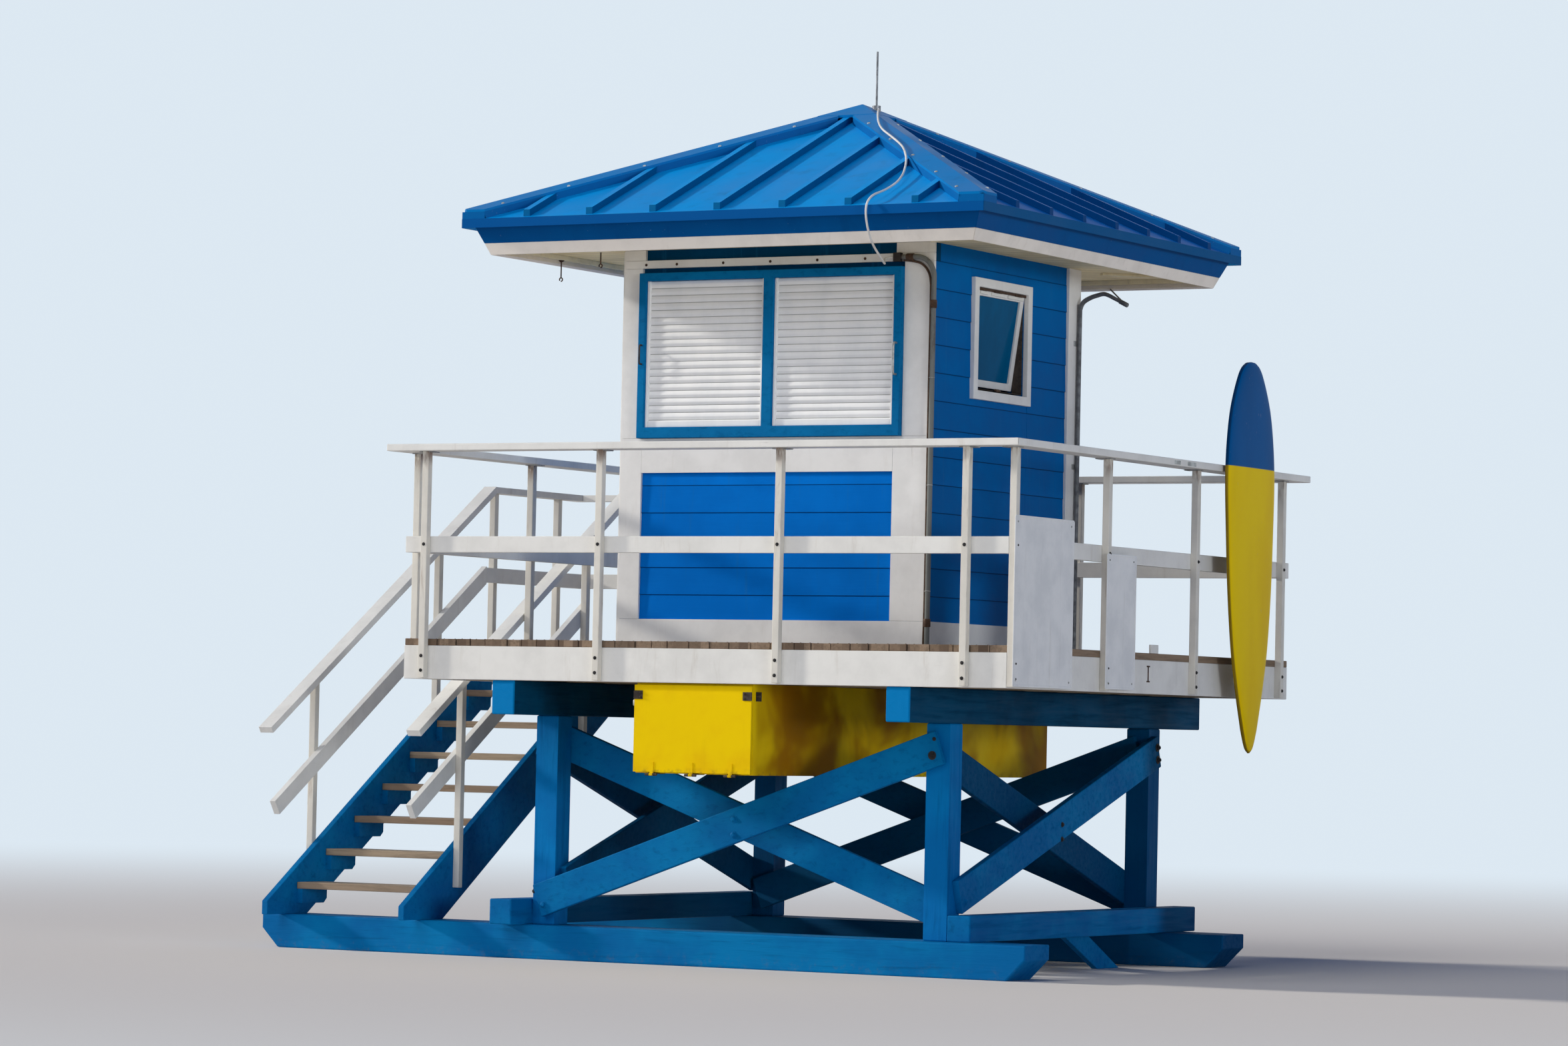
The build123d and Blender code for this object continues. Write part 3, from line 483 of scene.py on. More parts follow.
def board_paint(name):
    """A painted board, blue above and yellow below one line, dark along its rim."""
    f = Finish(name, roughness=0.4, specular=0.03)
    cloud = f.noise(3.0, (1, 1, 0.3), 4, 0.5)
    line = 2.812
    upper = f.spread(f.z, line, line + 0.006)
    yellow = f.mix(f.spread(cloud, 0.35, 0.7), (0.95, 0.67, 0.003), (0.88, 0.58, 0.003))
    blue = f.mix(f.spread(cloud, 0.35, 0.7), (0.0, 0.10, 0.32), (0.0, 0.08, 0.26))
    color = f.mix(upper, yellow, blue)
    rubbed = f.spread(f.noise(55, (1, 1, 0.4), 6, 0.7), 0.64, 0.72)
    color = f.mix(f.times(rubbed, 0.25), color, (0.5, 0.47, 0.38))
    rim = f.spread(f.x, BOARD_HIGH[0] - 0.016, BOARD_HIGH[0] - 0.010, 1, 0)
    color = f.mix(rim, color, f.mix(upper, (0.30, 0.19, 0.012), (0.0, 0.035, 0.12)))
    f.relief(f.noise(160, (1, 1, 1), 2), 0.0002, 0.4)
    return f.done(color, f.spread(rubbed, 0, 1, 0.38, 0.55))


def glass(name):
    """Opaque dark blue window glass with a film of salt: its dark blue is painted shade of the room behind
    and painted reflection of the sky.
    """
    f = Finish(name, roughness=0.1, specular=0.015)
    film = f.spread(f.noise(5, (1, 1, 0.5), 5, 0.6), 0.4, 0.75)
    return f.done(f.mix(film, (0.0, 0.090, 0.215), (0.0, 0.11, 0.26)), f.spread(film, 0, 1, 0.08, 0.2))


def sign_skin(name):
    """Bare sheet metal without any print: off-white, with clouds and rain marks."""
    f = Finish(name, roughness=0.34, specular=0.5)
    cloud = f.noise(5, (1, 1, 1), 5, 0.6)
    runs = f.noise(26, (1, 1, 0.06), 6, 0.7)
    color = f.mix(f.spread(cloud, 0.36, 0.68), (0.80, 0.80, 0.79), (0.70, 0.71, 0.71))
    color = f.mix(f.spread(runs, 0.56, 0.8, 0, 0.35), color, (0.34, 0.29, 0.22))
    f.relief(cloud, 0.002, 0.4)
    return f.done(color, f.spread(cloud, 0.3, 0.7, 0.3, 0.5))


FINISHES = {
    "timber_x": painted_timber("blue_timber_x", "x", under_deck_shade=True),
    "timber_y": painted_timber("blue_timber_y", "y", under_deck_shade=True),
    "timber_z": painted_timber("blue_timber_z", "z", (0.0, 0.14, 0.41), (0.0, 0.19, 0.50), under_deck_shade=True),
    "timber_any": painted_timber("blue_timber_any", "all", worn=0.72),
    "brace": painted_timber("brace_paint", "all", worn=0.72, under_deck_shade=True),
    # Painted shade: the headers get a far darker copy of the timber paint, their front ends the lit blue
    "header_shade_timber": painted_timber("header_timber_painted_shade", "y", (0.0, 0.036, 0.085), (0.0, 0.060, 0.14),
                                  unshaded_end=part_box("headers")[0][1]),
    "raw_timber": painted_timber("raw_timber", "x", (0.30, 0.23, 0.15), (0.40, 0.33, 0.24), 0.7),
    "white_x": white_paint("white_timber_x", "x"),
    "white_y": white_paint("white_timber_y", "y"),
    "trim": white_paint("white_trim", "z", (0.85, 0.84, 0.81), (0.48, 0.42, 0.33), 0.2),
    "rail_post": white_paint("rail_post_paint", "z", (0.75, 0.72, 0.64), (0.30, 0.21, 0.13), 0.85,
                             DECK_TOP + 1.03),
    "pale_fascia": white_paint("pale_fascia", "x", (0.93, 0.86, 0.76), (0.50, 0.42, 0.30), 0.3),
    "treads": bare_boards("tread_boards", "y", 0.281, "x", start=-1.283,
                          tone=(0.42, 0.33, 0.23), dark=(0.27, 0.19, 0.13)),
    "planks": bare_boards("deck_plank_wood", "x", 0.0573, "y", start=MIDDLE_X - HALF_X),
    "siding": blue_siding("siding_paint"),
    "panel": blue_siding("panel_paint", (0.0, 0.155, 0.59), (0.0, 0.185, 0.68)),
    # Painted shade: the strip under the soffit gets a near black-blue copy of the siding paint
    "band": blue_siding("front_band_painted_shade", (0.0, 0.05, 0.13), (0.0, 0.06, 0.16)),
    "door": painted_timber("door_paint", "z", (0.0, 0.11, 0.40), (0.0, 0.15, 0.48), 0.74),
    "frame": painted_timber("frame_paint", "all", (0.0, 0.13, 0.33), (0.0, 0.165, 0.40), 0.72),
    "slats": slat_paint("slat_paint", (SLAT_START, SLAT_PITCH)),
    "slat_guides": slat_paint("slat_guide_paint"),
    "glass": glass("window_glass_painted_shade"),
    "roof": roof_paint("roof_paint", (0.0, 0.265, 0.69), (0.0, 0.335, 0.80),
                       edge=(0.0, 0.088, 0.31), rib_side_shade=0.72),
    # Painted shade: the right slope gets a darker copy of the roof paint
    "roof_shaded": roof_paint("roof_paint_painted_shade", (0.0, 0.105, 0.40), (0.0, 0.135, 0.46),
                              edge=(0.0, 0.095, 0.27), rib_side_shade=0.6),
    # Painted shade: the strips under the hip caps get a darker copy of the roof paint
    "closures": roof_paint("closure_paint_painted_shade", (0.0, 0.115, 0.36), (0.0, 0.15, 0.43)),
    "caps": roof_paint("cap_paint", (0.0, 0.17, 0.48), (0.0, 0.22, 0.57), 0.36),
    "upper_fascia": roof_paint("upper_fascia_paint", (0.0, 0.078, 0.27), (0.0, 0.10, 0.32), 0.5),
    "soffit": soffit_boards("soffit_boards"),
    "soffit_strip": plain_paint("soffit_strip_paint", (0.94, 0.83, 0.55), (0.50, 0.40, 0.24), 0.6),
    "antenna": bare_metal("antenna_finish", (0.23, 0.235, 0.25), 0.1),
    "cable": plain_paint("cable_jacket_finish", (0.74, 0.73, 0.70), (0.30, 0.27, 0.22), 0.5),
    "conduit": conduit_paint("conduit_finish"),
    "pipe": bare_metal("pipe_finish", (0.15, 0.155, 0.165), 0.2, 0.45, 0.3),
    "yellow": yellow_paint("yellow_paint"),
    "hinge": bare_metal("hinge_finish", (0.060, 0.045, 0.035), 0.5, 0.6, 0.4),
    "zinc": bare_metal("zinc_finish", (0.46, 0.46, 0.45), 0.2, 0.42, 0.8),
    "iron": bare_metal("iron_finish", (0.030, 0.028, 0.028), 0.35, 0.6, 0.4),
    "rusty": bare_metal("rusty_finish", (0.09, 0.05, 0.03), 0.7, 0.65, 0.3),
    "board": board_paint("board_paint"),
    "sign": sign_skin("sign_skin"),
}

NODE_FINISH = {
    "skids": "timber_x", "sills": "timber_y", "posts": "timber_z", "headers": "header_shade_timber",
    "joists": "raw_timber", "braces": "brace", "deck_fascia": "white_x", "guard_posts": "rail_post",
    "guard_caps": "white_x", "guard_mid_rails": "white_x", "stair_stringers": "timber_any",
    "stair_treads": "treads", "tread_cleats": "timber_any", "stair_rails": "white_y",
    "wall_front": "band", "wall_rear": "siding", "wall_left": "siding", "wall_right": "siding",
    "hut_trim": "trim", "entrance_door": "door", "shutter_frame": "frame", "shutter_curtains": "slats",
    "window_frame": "trim", "window_sash": "trim", "window_glass": "glass", "roof_front": "roof",
    "roof_right": "roof_shaded", "roof_rear": "roof", "roof_left": "roof", "hip_caps": "caps",
    "upper_fascia": "upper_fascia", "lower_fascia": "pale_fascia", "soffit": "soffit",
    "antenna": "antenna", "wall_conduit": "conduit", "lamp_arm": "pipe", "locker_body": "yellow",
    "locker_door": "yellow", "locker_hinges": "hinge", "board_blocks": "white_x",
}
for node, finish in NODE_FINISH.items():
    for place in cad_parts[node].material_slots:
        place.material = FINISHES[finish]

EASED = {
    "skids": 0.008, "sills": 0.007, "posts": 0.007, "headers": 0.007, "braces": 0.005, "joists": 0.003,
    "deck_fascia": 0.003, "guard_caps": 0.004, "guard_mid_rails": 0.003, "stair_stringers": 0.004,
    "stair_treads": 0.005, "stair_rails": 0.0015, "hut_trim": 0.002, "shutter_frame": 0.003,
    "window_frame": 0.0025, "window_sash": 0.0025, "upper_fascia": 0.003, "lower_fascia": 0.003,
    "locker_body": 0.004, "guard_posts": 0.003, "entrance_door": 0.003, "board_blocks": 0.003,
}
for node, width in EASED.items():
    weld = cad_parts[node].modifiers.new("weld", "WELD")
    weld.merge_threshold = 0.0001
    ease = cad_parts[node].modifiers.new("ease", "BEVEL")
    ease.width, ease.segments, ease.angle_limit = width, 2, math.radians(40)


# Shapes


def piece(name, verts, faces, finish, slot, body="tower", stands_for=(), smooth=False):
    """A mesh piece of the tower, in its finish, on its body."""
    mesh = bpy.data.meshes.new(name)
    mesh.from_pydata(np.asarray(verts).tolist(), [], [list(f) for f in faces])
    mesh.materials.append(FINISHES[finish])
    if smooth:
        mesh.shade_smooth()
        mesh.set_sharp_from_angle(angle=math.radians(42))
    obj = placed(name, mesh)
    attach(obj, body)
    if stands_for:
        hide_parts(*stands_for)
    return obj


def joined(*shapes):
    """Several (verts, faces) shapes as one, their face numbers shifted to follow on."""
    verts, faces, start = [], [], 0
    for points, polygons in shapes:
        verts.append(points)
        faces += (np.asarray(p) + start for p in polygons)
        start += len(points)
    return np.concatenate(verts), faces


def skin(rings):
    """Closed surfaces through rings of points, shaped (shapes, rings, points, 3): quads join each ring to
    the next, and a fan round a middle point closes either end. Faces look outwards."""
    rings = np.asarray(rings, float)
    if rings.ndim == 3:
        rings = rings[None]
    count, m, n = rings.shape[:3]
    ends = np.stack([rings[:, 0].mean(axis=1), rings[:, -1].mean(axis=1)], axis=1)
    verts = np.concatenate([rings.reshape(count, m * n, 3), ends], axis=1)
    k, j = np.meshgrid(np.arange(m - 1), np.arange(n), indexing="ij")
    after = (j + 1) % n
    quads = np.stack([k * n + j, k * n + after, (k + 1) * n + after, (k + 1) * n + j], axis=-1).reshape(-1, 4)
    i = np.arange(n)
    first = np.stack([np.full(n, m * n), (i + 1) % n, i], axis=1)
    last = np.stack([np.full(n, m * n + 1), (m - 1) * n + i, (m - 1) * n + (i + 1) % n], axis=1)
    tris = np.concatenate([first, last])
    picks = ((0, 0), (1, 2), (2, 3))
    a, b, c = (verts[:, np.concatenate([tris[:, s], quads[:, s], quads[:, t]])] for s, t in picks)
    inside_out = np.einsum("sij,sij->s", a - verts[:, :1], np.cross(b - verts[:, :1], c - verts[:, :1])) < 0
    faces = []
    for s, flip in enumerate(inside_out):
        for block in (quads, tris):
            faces += list((block[:, ::-1] if flip else block) + s * (m * n + 2))
    return verts.reshape(-1, 3), faces


def unit(vectors):
    """Each vector divided by its length."""
    return vectors / np.linalg.norm(vectors, axis=1, keepdims=True)


def circles(axes, helper, sides):
    """Points u cos(a) + v sin(a) round each axis, on a circle of radius 1: u stands across the axis and
    the helper, v across the axis and u."""
    u = unit(np.cross(axes, helper))
    v = np.cross(axes, u)
    turn = np.arange(sides) * 2 * np.pi / sides
    return u[:, None] * np.cos(turn)[:, None] + v[:, None] * np.sin(turn)[:, None]


def bars(start, end, wide, tall, up=(0, 0, 1), edge=0.003):
    """Straight boards from start to end: a rectangle wide across and tall along up, its corners
    rounded by the edge, and drawn in by as much at both ends."""
    start, end = np.atleast_2d(np.asarray(start, float)), np.atleast_2d(np.asarray(end, float))
    start, end = np.broadcast_arrays(start, end)
    count = len(start)
    length = np.linalg.norm(end - start, axis=1, keepdims=True)
    along = unit(end - start)
    side = unit(np.cross(along, np.broadcast_to(np.asarray(up, float), along.shape)))
    top = np.cross(side, along)
    wide, tall = (np.broadcast_to(np.asarray(v, float), count) for v in (wide, tall))
    turn = np.radians([0, 45, 90, 90, 135, 180, 180, 225, 270, 270, 315, 360])
    corner = np.repeat([[1, 1], [-1, 1], [-1, -1], [1, -1]], 3, axis=0)
    inset = edge * np.array([1, 0.3, 0, 0, 0.3, 1])
    run = np.stack([0 * length, 0.3 * edge + 0 * length, edge + 0 * length,
                    length - edge, length - 0.3 * edge, length], axis=1)[:, :, 0]
    u = corner[:, 0] * (wide[:, None] / 2 - edge) + edge * np.cos(turn)
    v = corner[:, 1] * (tall[:, None] / 2 - edge) + edge * np.sin(turn)
    u = u[:, None] - inset[None, :, None] * corner[:, 0]
    v = v[:, None] - inset[None, :, None] * corner[:, 1]
    spots = start[:, None, None] + run[:, :, None, None] * along[:, None, None]
    return skin(spots + u[..., None] * side[:, None, None] + v[..., None] * top[:, None, None])


def turned(profile, places, axes, sides=12):
    """A profile of (radius, height) pairs turned round each axis at each place: bolt heads, rings, knobs."""
    profile = np.asarray(profile, float)
    places, axes = np.broadcast_arrays(np.atleast_2d(places).astype(float), np.atleast_2d(axes).astype(float))
    axes = unit(axes)
    helper = np.where(np.abs(axes[:, 2:]) > 0.9, [1.0, 0.0, 0.0], [0.0, 0.0, 1.0])
    ring = circles(axes, helper, sides)
    rings = places[:, None, None] + profile[:, 0][:, None, None] * ring[:, None] \
        + profile[:, 1][:, None, None] * axes[:, None, None]
    return skin(rings)


def smooth_line(points, steps=8):
    """A Catmull-Rom line through the points, the given number of steps between two of them."""
    p = np.asarray(points, float)
    p = np.concatenate([2 * p[:1] - p[1:2], p, 2 * p[-1:] - p[-2:-1]])
    t = np.linspace(0, 1, steps, endpoint=False)[:, None]
    a, b, c, d = p[:-3, None], p[1:-2, None], p[2:-1, None], p[3:, None]
    square, cube = 2 * a - 5 * b + 4 * c - d, 3 * b - a - 3 * c + d
    line = 0.5 * (2 * b + (c - a) * t + square * t ** 2 + cube * t ** 3)
    return np.concatenate([line.reshape(-1, 3), p[-2:-1]])


def tube(points, radius, sides=10):
    """A round tube that follows the points, of one radius or one for each point."""
    p = np.asarray(points, float)
    along = unit(np.gradient(p, axis=0))
    helper = (0.0, 0.0, 1.0) if np.abs(along[:, 2]).max() < 0.9 else (0.3, 1.0, 0.1)
    return skin(p[:, None] + np.reshape(radius, (-1, 1, 1)) * circles(along, helper, sides))


BOLT = [(1.0, 0), (1.0, 0.18), (0.62, 0.22), (0.60, 0.55), (0.42, 0.72)]
SCREW = [(1.0, 0), (0.85, 0.35), (0.5, 0.5)]


def heads(places, axes, radius, profile=BOLT, sides=10):
    """Bolt or screw heads of that radius, their foot 1 mm inside the surface."""
    shape = radius * np.asarray(profile, float)
    shape[0, 1] = -0.001
    return turned(shape, places, axes, sides)


def grid(*values):
    """All combinations of the given values, one row each."""
    return np.stack(np.meshgrid(*values, indexing="ij"), axis=-1).reshape(-1, len(values))


def row(points):
    """Points measured from the hut's middle, moved into the row frame."""
    return np.asarray(points, float) + (MIDDLE_X, 0, 0)


def bar(start, end, *size):
    """One board between two points measured from the hut's middle."""
    return bars(row([start]), row([end]), *size)


# Antenna cable: a given line of points from its foot over the roof to the wall fitting

CABLE = [
    (0.6395, -0.0750, 4.7946), (0.7515, -0.2990, 4.7370), (0.9075, -0.5530, 4.6263),
    (1.0815, -0.7290, 4.5495), (1.2215, -0.8790, 4.4841), (1.2965, -0.9790, 4.4405),
    (1.3915, -1.1270, 4.3620), (1.4815, -1.3490, 4.2392), (1.4865, -1.5290, 4.1620),
    (1.4665, -1.6720, 4.1180), (1.4565, -1.7120, 4.0400), (1.4365, -1.6090, 3.8900),
    (1.3815, -1.3800, 3.8150), (1.2915, -1.1600, 3.8000), (1.2115, -1.0430, 3.8420),
    (1.2455, -1.0230, 3.8560), (1.2647, -1.0190, 3.8560),
]


def antenna_cable():
    """The cable leaves the antenna's foot, lies over the roof and loops back under the eave."""
    line = bpy.data.curves.new("aerial_lead", "CURVE")
    line.dimensions = "3D"
    spline = line.splines.new("NURBS")
    spline.points.add(len(CABLE) - 1)
    for point, place in zip(spline.points, CABLE):
        point.co = (*place, 1)
    spline.order_u, spline.use_endpoint_u = 3, True
    spline.resolution_u = 8
    line.bevel_depth, line.bevel_resolution = 0.006, 2
    line.materials.append(FINISHES["cable"])
    cable = placed("aerial_lead", line)
    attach(cable, "tower")
    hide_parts("antenna_cable")


antenna_cable()


# Deck


def plank_run(low, high, y0, y1, wide=(0.086, 0.142), gap=0.005):
    """Planks along Y between two x values, each of its own width, with uneven ends and tops: their
    starts, ends, widths and heights."""
    widths = RANDOM.uniform(*wide, int((high - low) / sum(wide) * 2))
    widths *= (high - low - gap * (len(widths) - 1)) / widths.sum()
    middles = low + np.cumsum(widths + gap) - gap - widths / 2
    tall = (DECK_HIGH[2] - DECK_LOW[2]) - RANDOM.uniform(0, 0.0015, len(widths))
    starts = np.stack([middles, y0 + RANDOM.uniform(0, 0.007, len(widths)), DECK_LOW[2] + tall / 2], axis=1)
    ends = np.stack([middles, y1 - RANDOM.uniform(0, 0.007, len(widths)), DECK_LOW[2] + tall / 2], axis=1)
    return starts, ends, widths, tall


def deck():
    """Deck and landing planks with two nails over each joist."""
    main = plank_run(MIDDLE_X - HALF_X, MIDDLE_X + HALF_X, -HALF_Y, HALF_Y)
    landing = plank_run(DECK_LOW[0], MIDDLE_X - HALF_X - 0.004, 0.732, HALF_Y)
    planks = joined(bars(*main), bars(*landing))
    piece("deck_planks", *planks, "planks", "weathered_boards", stands_for=("deck",))
    spots = []
    for run, levels in ((main, np.linspace(-1.74, 1.74, 7)), (landing, (0.80, 1.25, 1.70))):
        starts, _, widths, tall = run
        for side in (-0.3, 0.3):
            x = starts[:, 0] + side * widths
            z = DECK_LOW[2] + tall
            spots += [np.stack([x, np.full_like(x, y), z], axis=1) for y in levels]
    spots = np.concatenate(spots)
    hidden = (spots[:, 0] > LEFT_X - 0.03) & (spots[:, 0] < RIGHT_X + 0.03) & (np.abs(spots[:, 1]) < 0.95)
    piece("deck_nails", *heads(spots[~hidden], (0, 0, 1), 0.0045, SCREW, 6), "rusty", "hinge_metal")


deck()


# Lap siding


def lap_boards(spans, fixed, outward, axis):
    """Wedge boards on one wall: thick at their lower edge, thin at the upper. Each span is
    (from, to, lowest, highest) along the wall. axis 0 runs along X, 1 along Y."""
    first, last, low, high = [], [], [], []
    laps = np.arange(LAP_LINE - LAP_PITCH, SOFFIT_Z, LAP_PITCH)
    laps += RANDOM.uniform(-0.0015, 0.0015, len(laps))
    for a0, a1, z0, z1 in spans:
        bottom, top = np.maximum(laps[:-1], z0), np.minimum(laps[1:], z1)
        keep = top - bottom > 0.004
        bottom, top = bottom[keep], top[keep]
        lift = (top - bottom) / LAP_PITCH
        first.append(np.full(len(bottom), a0 + 0.0005))
        last.append(np.full(len(bottom), a1 - 0.0005))
        low.append(np.stack([bottom, 0.0045 + 0.003 * np.clip(lift, 0, 1)], axis=1))
        high.append(top)
    first, last, low, high = (np.concatenate(v) for v in (first, last, low, high))
    thick = low[:, 1] + RANDOM.uniform(-0.0008, 0.0008, len(low))
    low = low[:, 0]
    back, head = np.full_like(thick, -0.0005), np.full_like(thick, 0.0035)
    out = np.stack([back, thick - 0.0012, thick, thick - 0.0003, head, back], axis=1)
    level = np.stack([low, low, low + 0.0015, low + 0.006, high, high], axis=1)
    rings = np.zeros((len(low), 2, 6, 3))
    rings[:, 0, :, axis], rings[:, 1, :, axis] = first[:, None], last[:, None]
    rings[..., 1 - axis] = fixed + outward * out[:, None]
    rings[..., 2] = level[:, None]
    return skin(rings)


def siding():
    """Lap boards between the trims of all four walls, cut round the window, the shutters and the door."""
    band = SOFFIT_Z - 0.001
    left, right, under_shutters = MIDDLE_X - 0.831, MIDDLE_X + 0.751, 2.698
    y0, y1, w0, w1 = FRONT_Y + 0.002, REAR_Y - 0.152, WINDOW_LOW[1], WINDOW_HIGH[1]
    d0, d1 = DOOR_LOW[1] - 0.06, DOOR_HIGH[1] + 0.06
    front = [(left, right, BASE_TOP, under_shutters)]
    window_side = [
        (y0, w0, BASE_TOP, band), (w1, y1, BASE_TOP, band),
        (w0, w1, BASE_TOP, WINDOW_LOW[2]), (w0, w1, WINDOW_HIGH[2], band),
    ]
    rear = [(LEFT_X + 0.15, RIGHT_X - 0.15, BASE_TOP, band)]
    door_side = [
        (FRONT_Y + 0.15, d0, BASE_TOP, band), (d1, REAR_Y - 0.15, BASE_TOP, band),
        (d0, d1, DOOR_HIGH[2] + 0.061, band),
    ]
    walls = (
        ("front_siding", "panel", front, FRONT_Y, -1, 0),
        ("right_siding", "siding", window_side, RIGHT_X, 1, 1),
        ("rear_siding", "siding", rear, REAR_Y, 1, 0),
        ("left_siding", "siding", door_side, LEFT_X, -1, 1),
    )
    for name, finish, *wall in walls:
        piece(name, *lap_boards(*wall), finish, "blue_siding")


siding()


# Long board


def board_shape():
    """The long board: its half width follows its outline, and each cross-section is a flattened oval
    whose faces are crowned."""
    share = np.array([0, 0.02, 0.085, 0.167, 0.269, 0.414, 0.576, 0.7, 0.8, 0.885, 0.965, 0.994, 1])
    half = np.array([0, 48, 108, 172, 233, 281, 308, 320, 300, 250, 148, 64, 0]) / 1000
    line = smooth_line(np.stack([share, half, 0 * half], axis=1), 10)
    share, half = line[:, 0], np.maximum(line[:, 1], 0.0015)
    share, half = share[1:-1], half[1:-1]
    turn = np.arange(40) * 2 * np.pi / 40
    c, s = np.cos(turn), np.sin(turn)
    flat = 0.0225 * np.clip(half / 0.09, 0.12, 1) ** 0.6
    y = half[:, None] * np.sign(c) * np.abs(c) ** 0.8
    x = flat[:, None] * np.sign(s) * np.abs(s) ** 0.55
    z = (share[:, None] - 0.5) * 2.200 + 0 * y
    lean = math.radians(1.6)
    middle = (BOARD_LOW + BOARD_HIGH) / 2
    placed_y = y * math.cos(lean) - z * math.sin(lean) + 0.969
    placed_z = y * math.sin(lean) + z * math.cos(lean) + middle[2]
    verts, faces = skin(np.stack([x + middle[0], placed_y, placed_z], axis=-1))
    piece("rescue_board", verts, faces, "board", "board_skin", stands_for=("long_board",), smooth=True)


board_shape()


def board_bearers():
    """Two short blocks behind the board, one on the fascia and one on the mid rail."""
    low, high = (np.array(v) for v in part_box("board_blocks"))
    fascia, rail = low[0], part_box("guard_mid_rails")[1][0]
    mids = [(fascia, 1.075, 1.645), (rail, 1.010, 2.268)]
    ends = [(high[0], y, z) for _, y, z in mids]
    verts, faces = bars(mids, ends, (0.085, 0.200), (0.090, 0.089), (0, 0, 1), 0.002)
    piece("board_bearers", verts, faces, "white_y", "white_timber", stands_for=("board_blocks",))


board_bearers()


# Signs and rail fittings


def signs():
    """Two bare sign plates on the right guard posts, with folded rims and screws."""
    face = MIDDLE_X + HALF_X + GUARD_DEPTH
    plates, screws, rims = [], [], []
    for y0, y1, z0, z1 in ((-1.786, -1.110, 1.541, 2.418), (-0.695, -0.346, 1.549, 2.262)):
        y = (y0 + y1) / 2
        plates.append(bars((face + 0.002, y, z0), (face + 0.002, y, z1), y1 - y0, 0.004, (1, 0, 0), 0.0015))
        out = face + 0.004
        rim_starts = [(out, y0, z0), (out, y0, z1), (out, y0, z0), (out, y1, z0)]
        rim_ends = [(out, y1, z0), (out, y1, z1), (out, y0, z1), (out, y1, z1)]
        rims.append(bars(rim_starts, rim_ends, 0.012, 0.005, (1, 0, 0), 0.0015))
        spots = grid([out], [y0 + 0.028, y1 - 0.028], [z0 + 0.028, z1 - 0.028])
        screws.append(heads(spots, (1, 0, 0), 0.006, SCREW, 10))
    piece("sign_plates", *joined(*plates), "sign", "white_trim")
    piece("sign_rims", *joined(*rims), "sign", "white_trim")
    piece("sign_screws", *joined(*screws), "zinc", "hinge_metal")


signs()


def guard_fittings():
    """Flange plates under the caps, and bolts through the guard posts at the mid rail and the fascia."""
    out_x, out_y = HALF_X + GUARD_DEPTH / 2, HALF_Y + GUARD_DEPTH / 2
    spots = [(x, -out_y, 0, -1) for x in GUARD_FRONT]
    spots += [(x, out_y, 0, 1) for x in GUARD_FRONT]
    spots += [(out_x, y, 1, 0) for y in GUARD_RIGHT]
    spots += [(-out_x, y, -1, 0) for y in GUARD_LEFT]
    spots = np.array(spots)
    top = row(np.column_stack([spots[:, :2], np.full(len(spots), DECK_TOP + 1.029)]))
    normal = np.column_stack([spots[:, 2:], 0 * spots[:, 0]])
    under = top - 0.018 * normal
    flanges = bars(under - (0, 0, 0.006), under, 0.088, 0.072, (0, 1, 0), 0.0015)
    piece("cap_flanges", *flanges, "zinc", "rail_post_metal")
    face = top + normal * GUARD_DEPTH / 2
    levels = (2.268, 1.655, 1.575)
    spots = np.concatenate([face * (1, 1, 0) + (0, 0, z) for z in levels])
    piece("guard_bolts", *heads(spots, np.tile(normal, (3, 1)), 0.010), "iron", "hinge_metal")


guard_fittings()


# Timber bolts


def timber_bolts():
    """Dark bolts at the upper ends of the outer braces, at the left front foot and where the right pair
    crosses, painted ones at the other crossings and feet, small ones on the strip above the shutters."""
    front, side = BRACE_FRONT, 1.328
    spots = row([(1.204, front, 1.171), (-1.204, -front, 1.171), (side, 1.182, 1.236), (side, 1.192, 1.166)])
    normals = np.array([(0, -1, 0), (0, 1, 0), (1, 0, 0), (1, 0, 0)])
    washers = turned([(0.024, -0.001), (0.024, 0.003), (0.020, 0.004)], spots, normals, 14)
    nut = [(0.95, 0), (0.95, 0.5), (0.6, 0.62), (0.55, 0.95), (0.4, 1.0)]
    nuts = heads(spots + 0.003 * normals, normals, 0.017, nut, 6)
    lesser = heads(row([(1.214, front, 1.258), (-1.285, -1.292, 0.370)]), (0, -1, 0), 0.011)
    crossing = heads(row([(side, -0.017, 0.803), (side, -0.017, 0.723)]), (1, 0, 0), 0.015)
    piece("timber_bolts", *joined(washers, nuts, lesser, crossing), "iron", "hinge_metal")
    painted = [(0, front, 0.803), (0, front, 0.717), (-1.20, front, 0.300)]
    painted += [(0, -front, 0.803), (0, -front, 0.717), (1.20, -front, 0.300)]
    painted += [(side, -1.15, 0.40)]
    painted += [(-side, 0.05, 0.815), (-side, 0.05, 0.735), (-side, -1.17, 1.17), (-side, 1.15, 0.40)]
    ways = [(0, -1, 0)] * 3 + [(0, 1, 0)] * 3 + [(1, 0, 0)] + [(-1, 0, 0)] * 4
    profile = [(1.3, 0), (1.3, 0.12), (0.9, 0.16), (0.85, 0.5), (0.5, 0.7)]
    piece("brace_bolts", *heads(row(painted), np.array(ways), 0.016, profile, 12), "brace", "hinge_metal")
    small = row([(x, -1.001, 3.855) for x in (-0.827, -0.630, -0.333, -0.035, 0.260, 0.557)])
    piece("header_bolts", *heads(small, (0, -1, 0), 0.008), "rusty", "hinge_metal")


timber_bolts()


# Eave


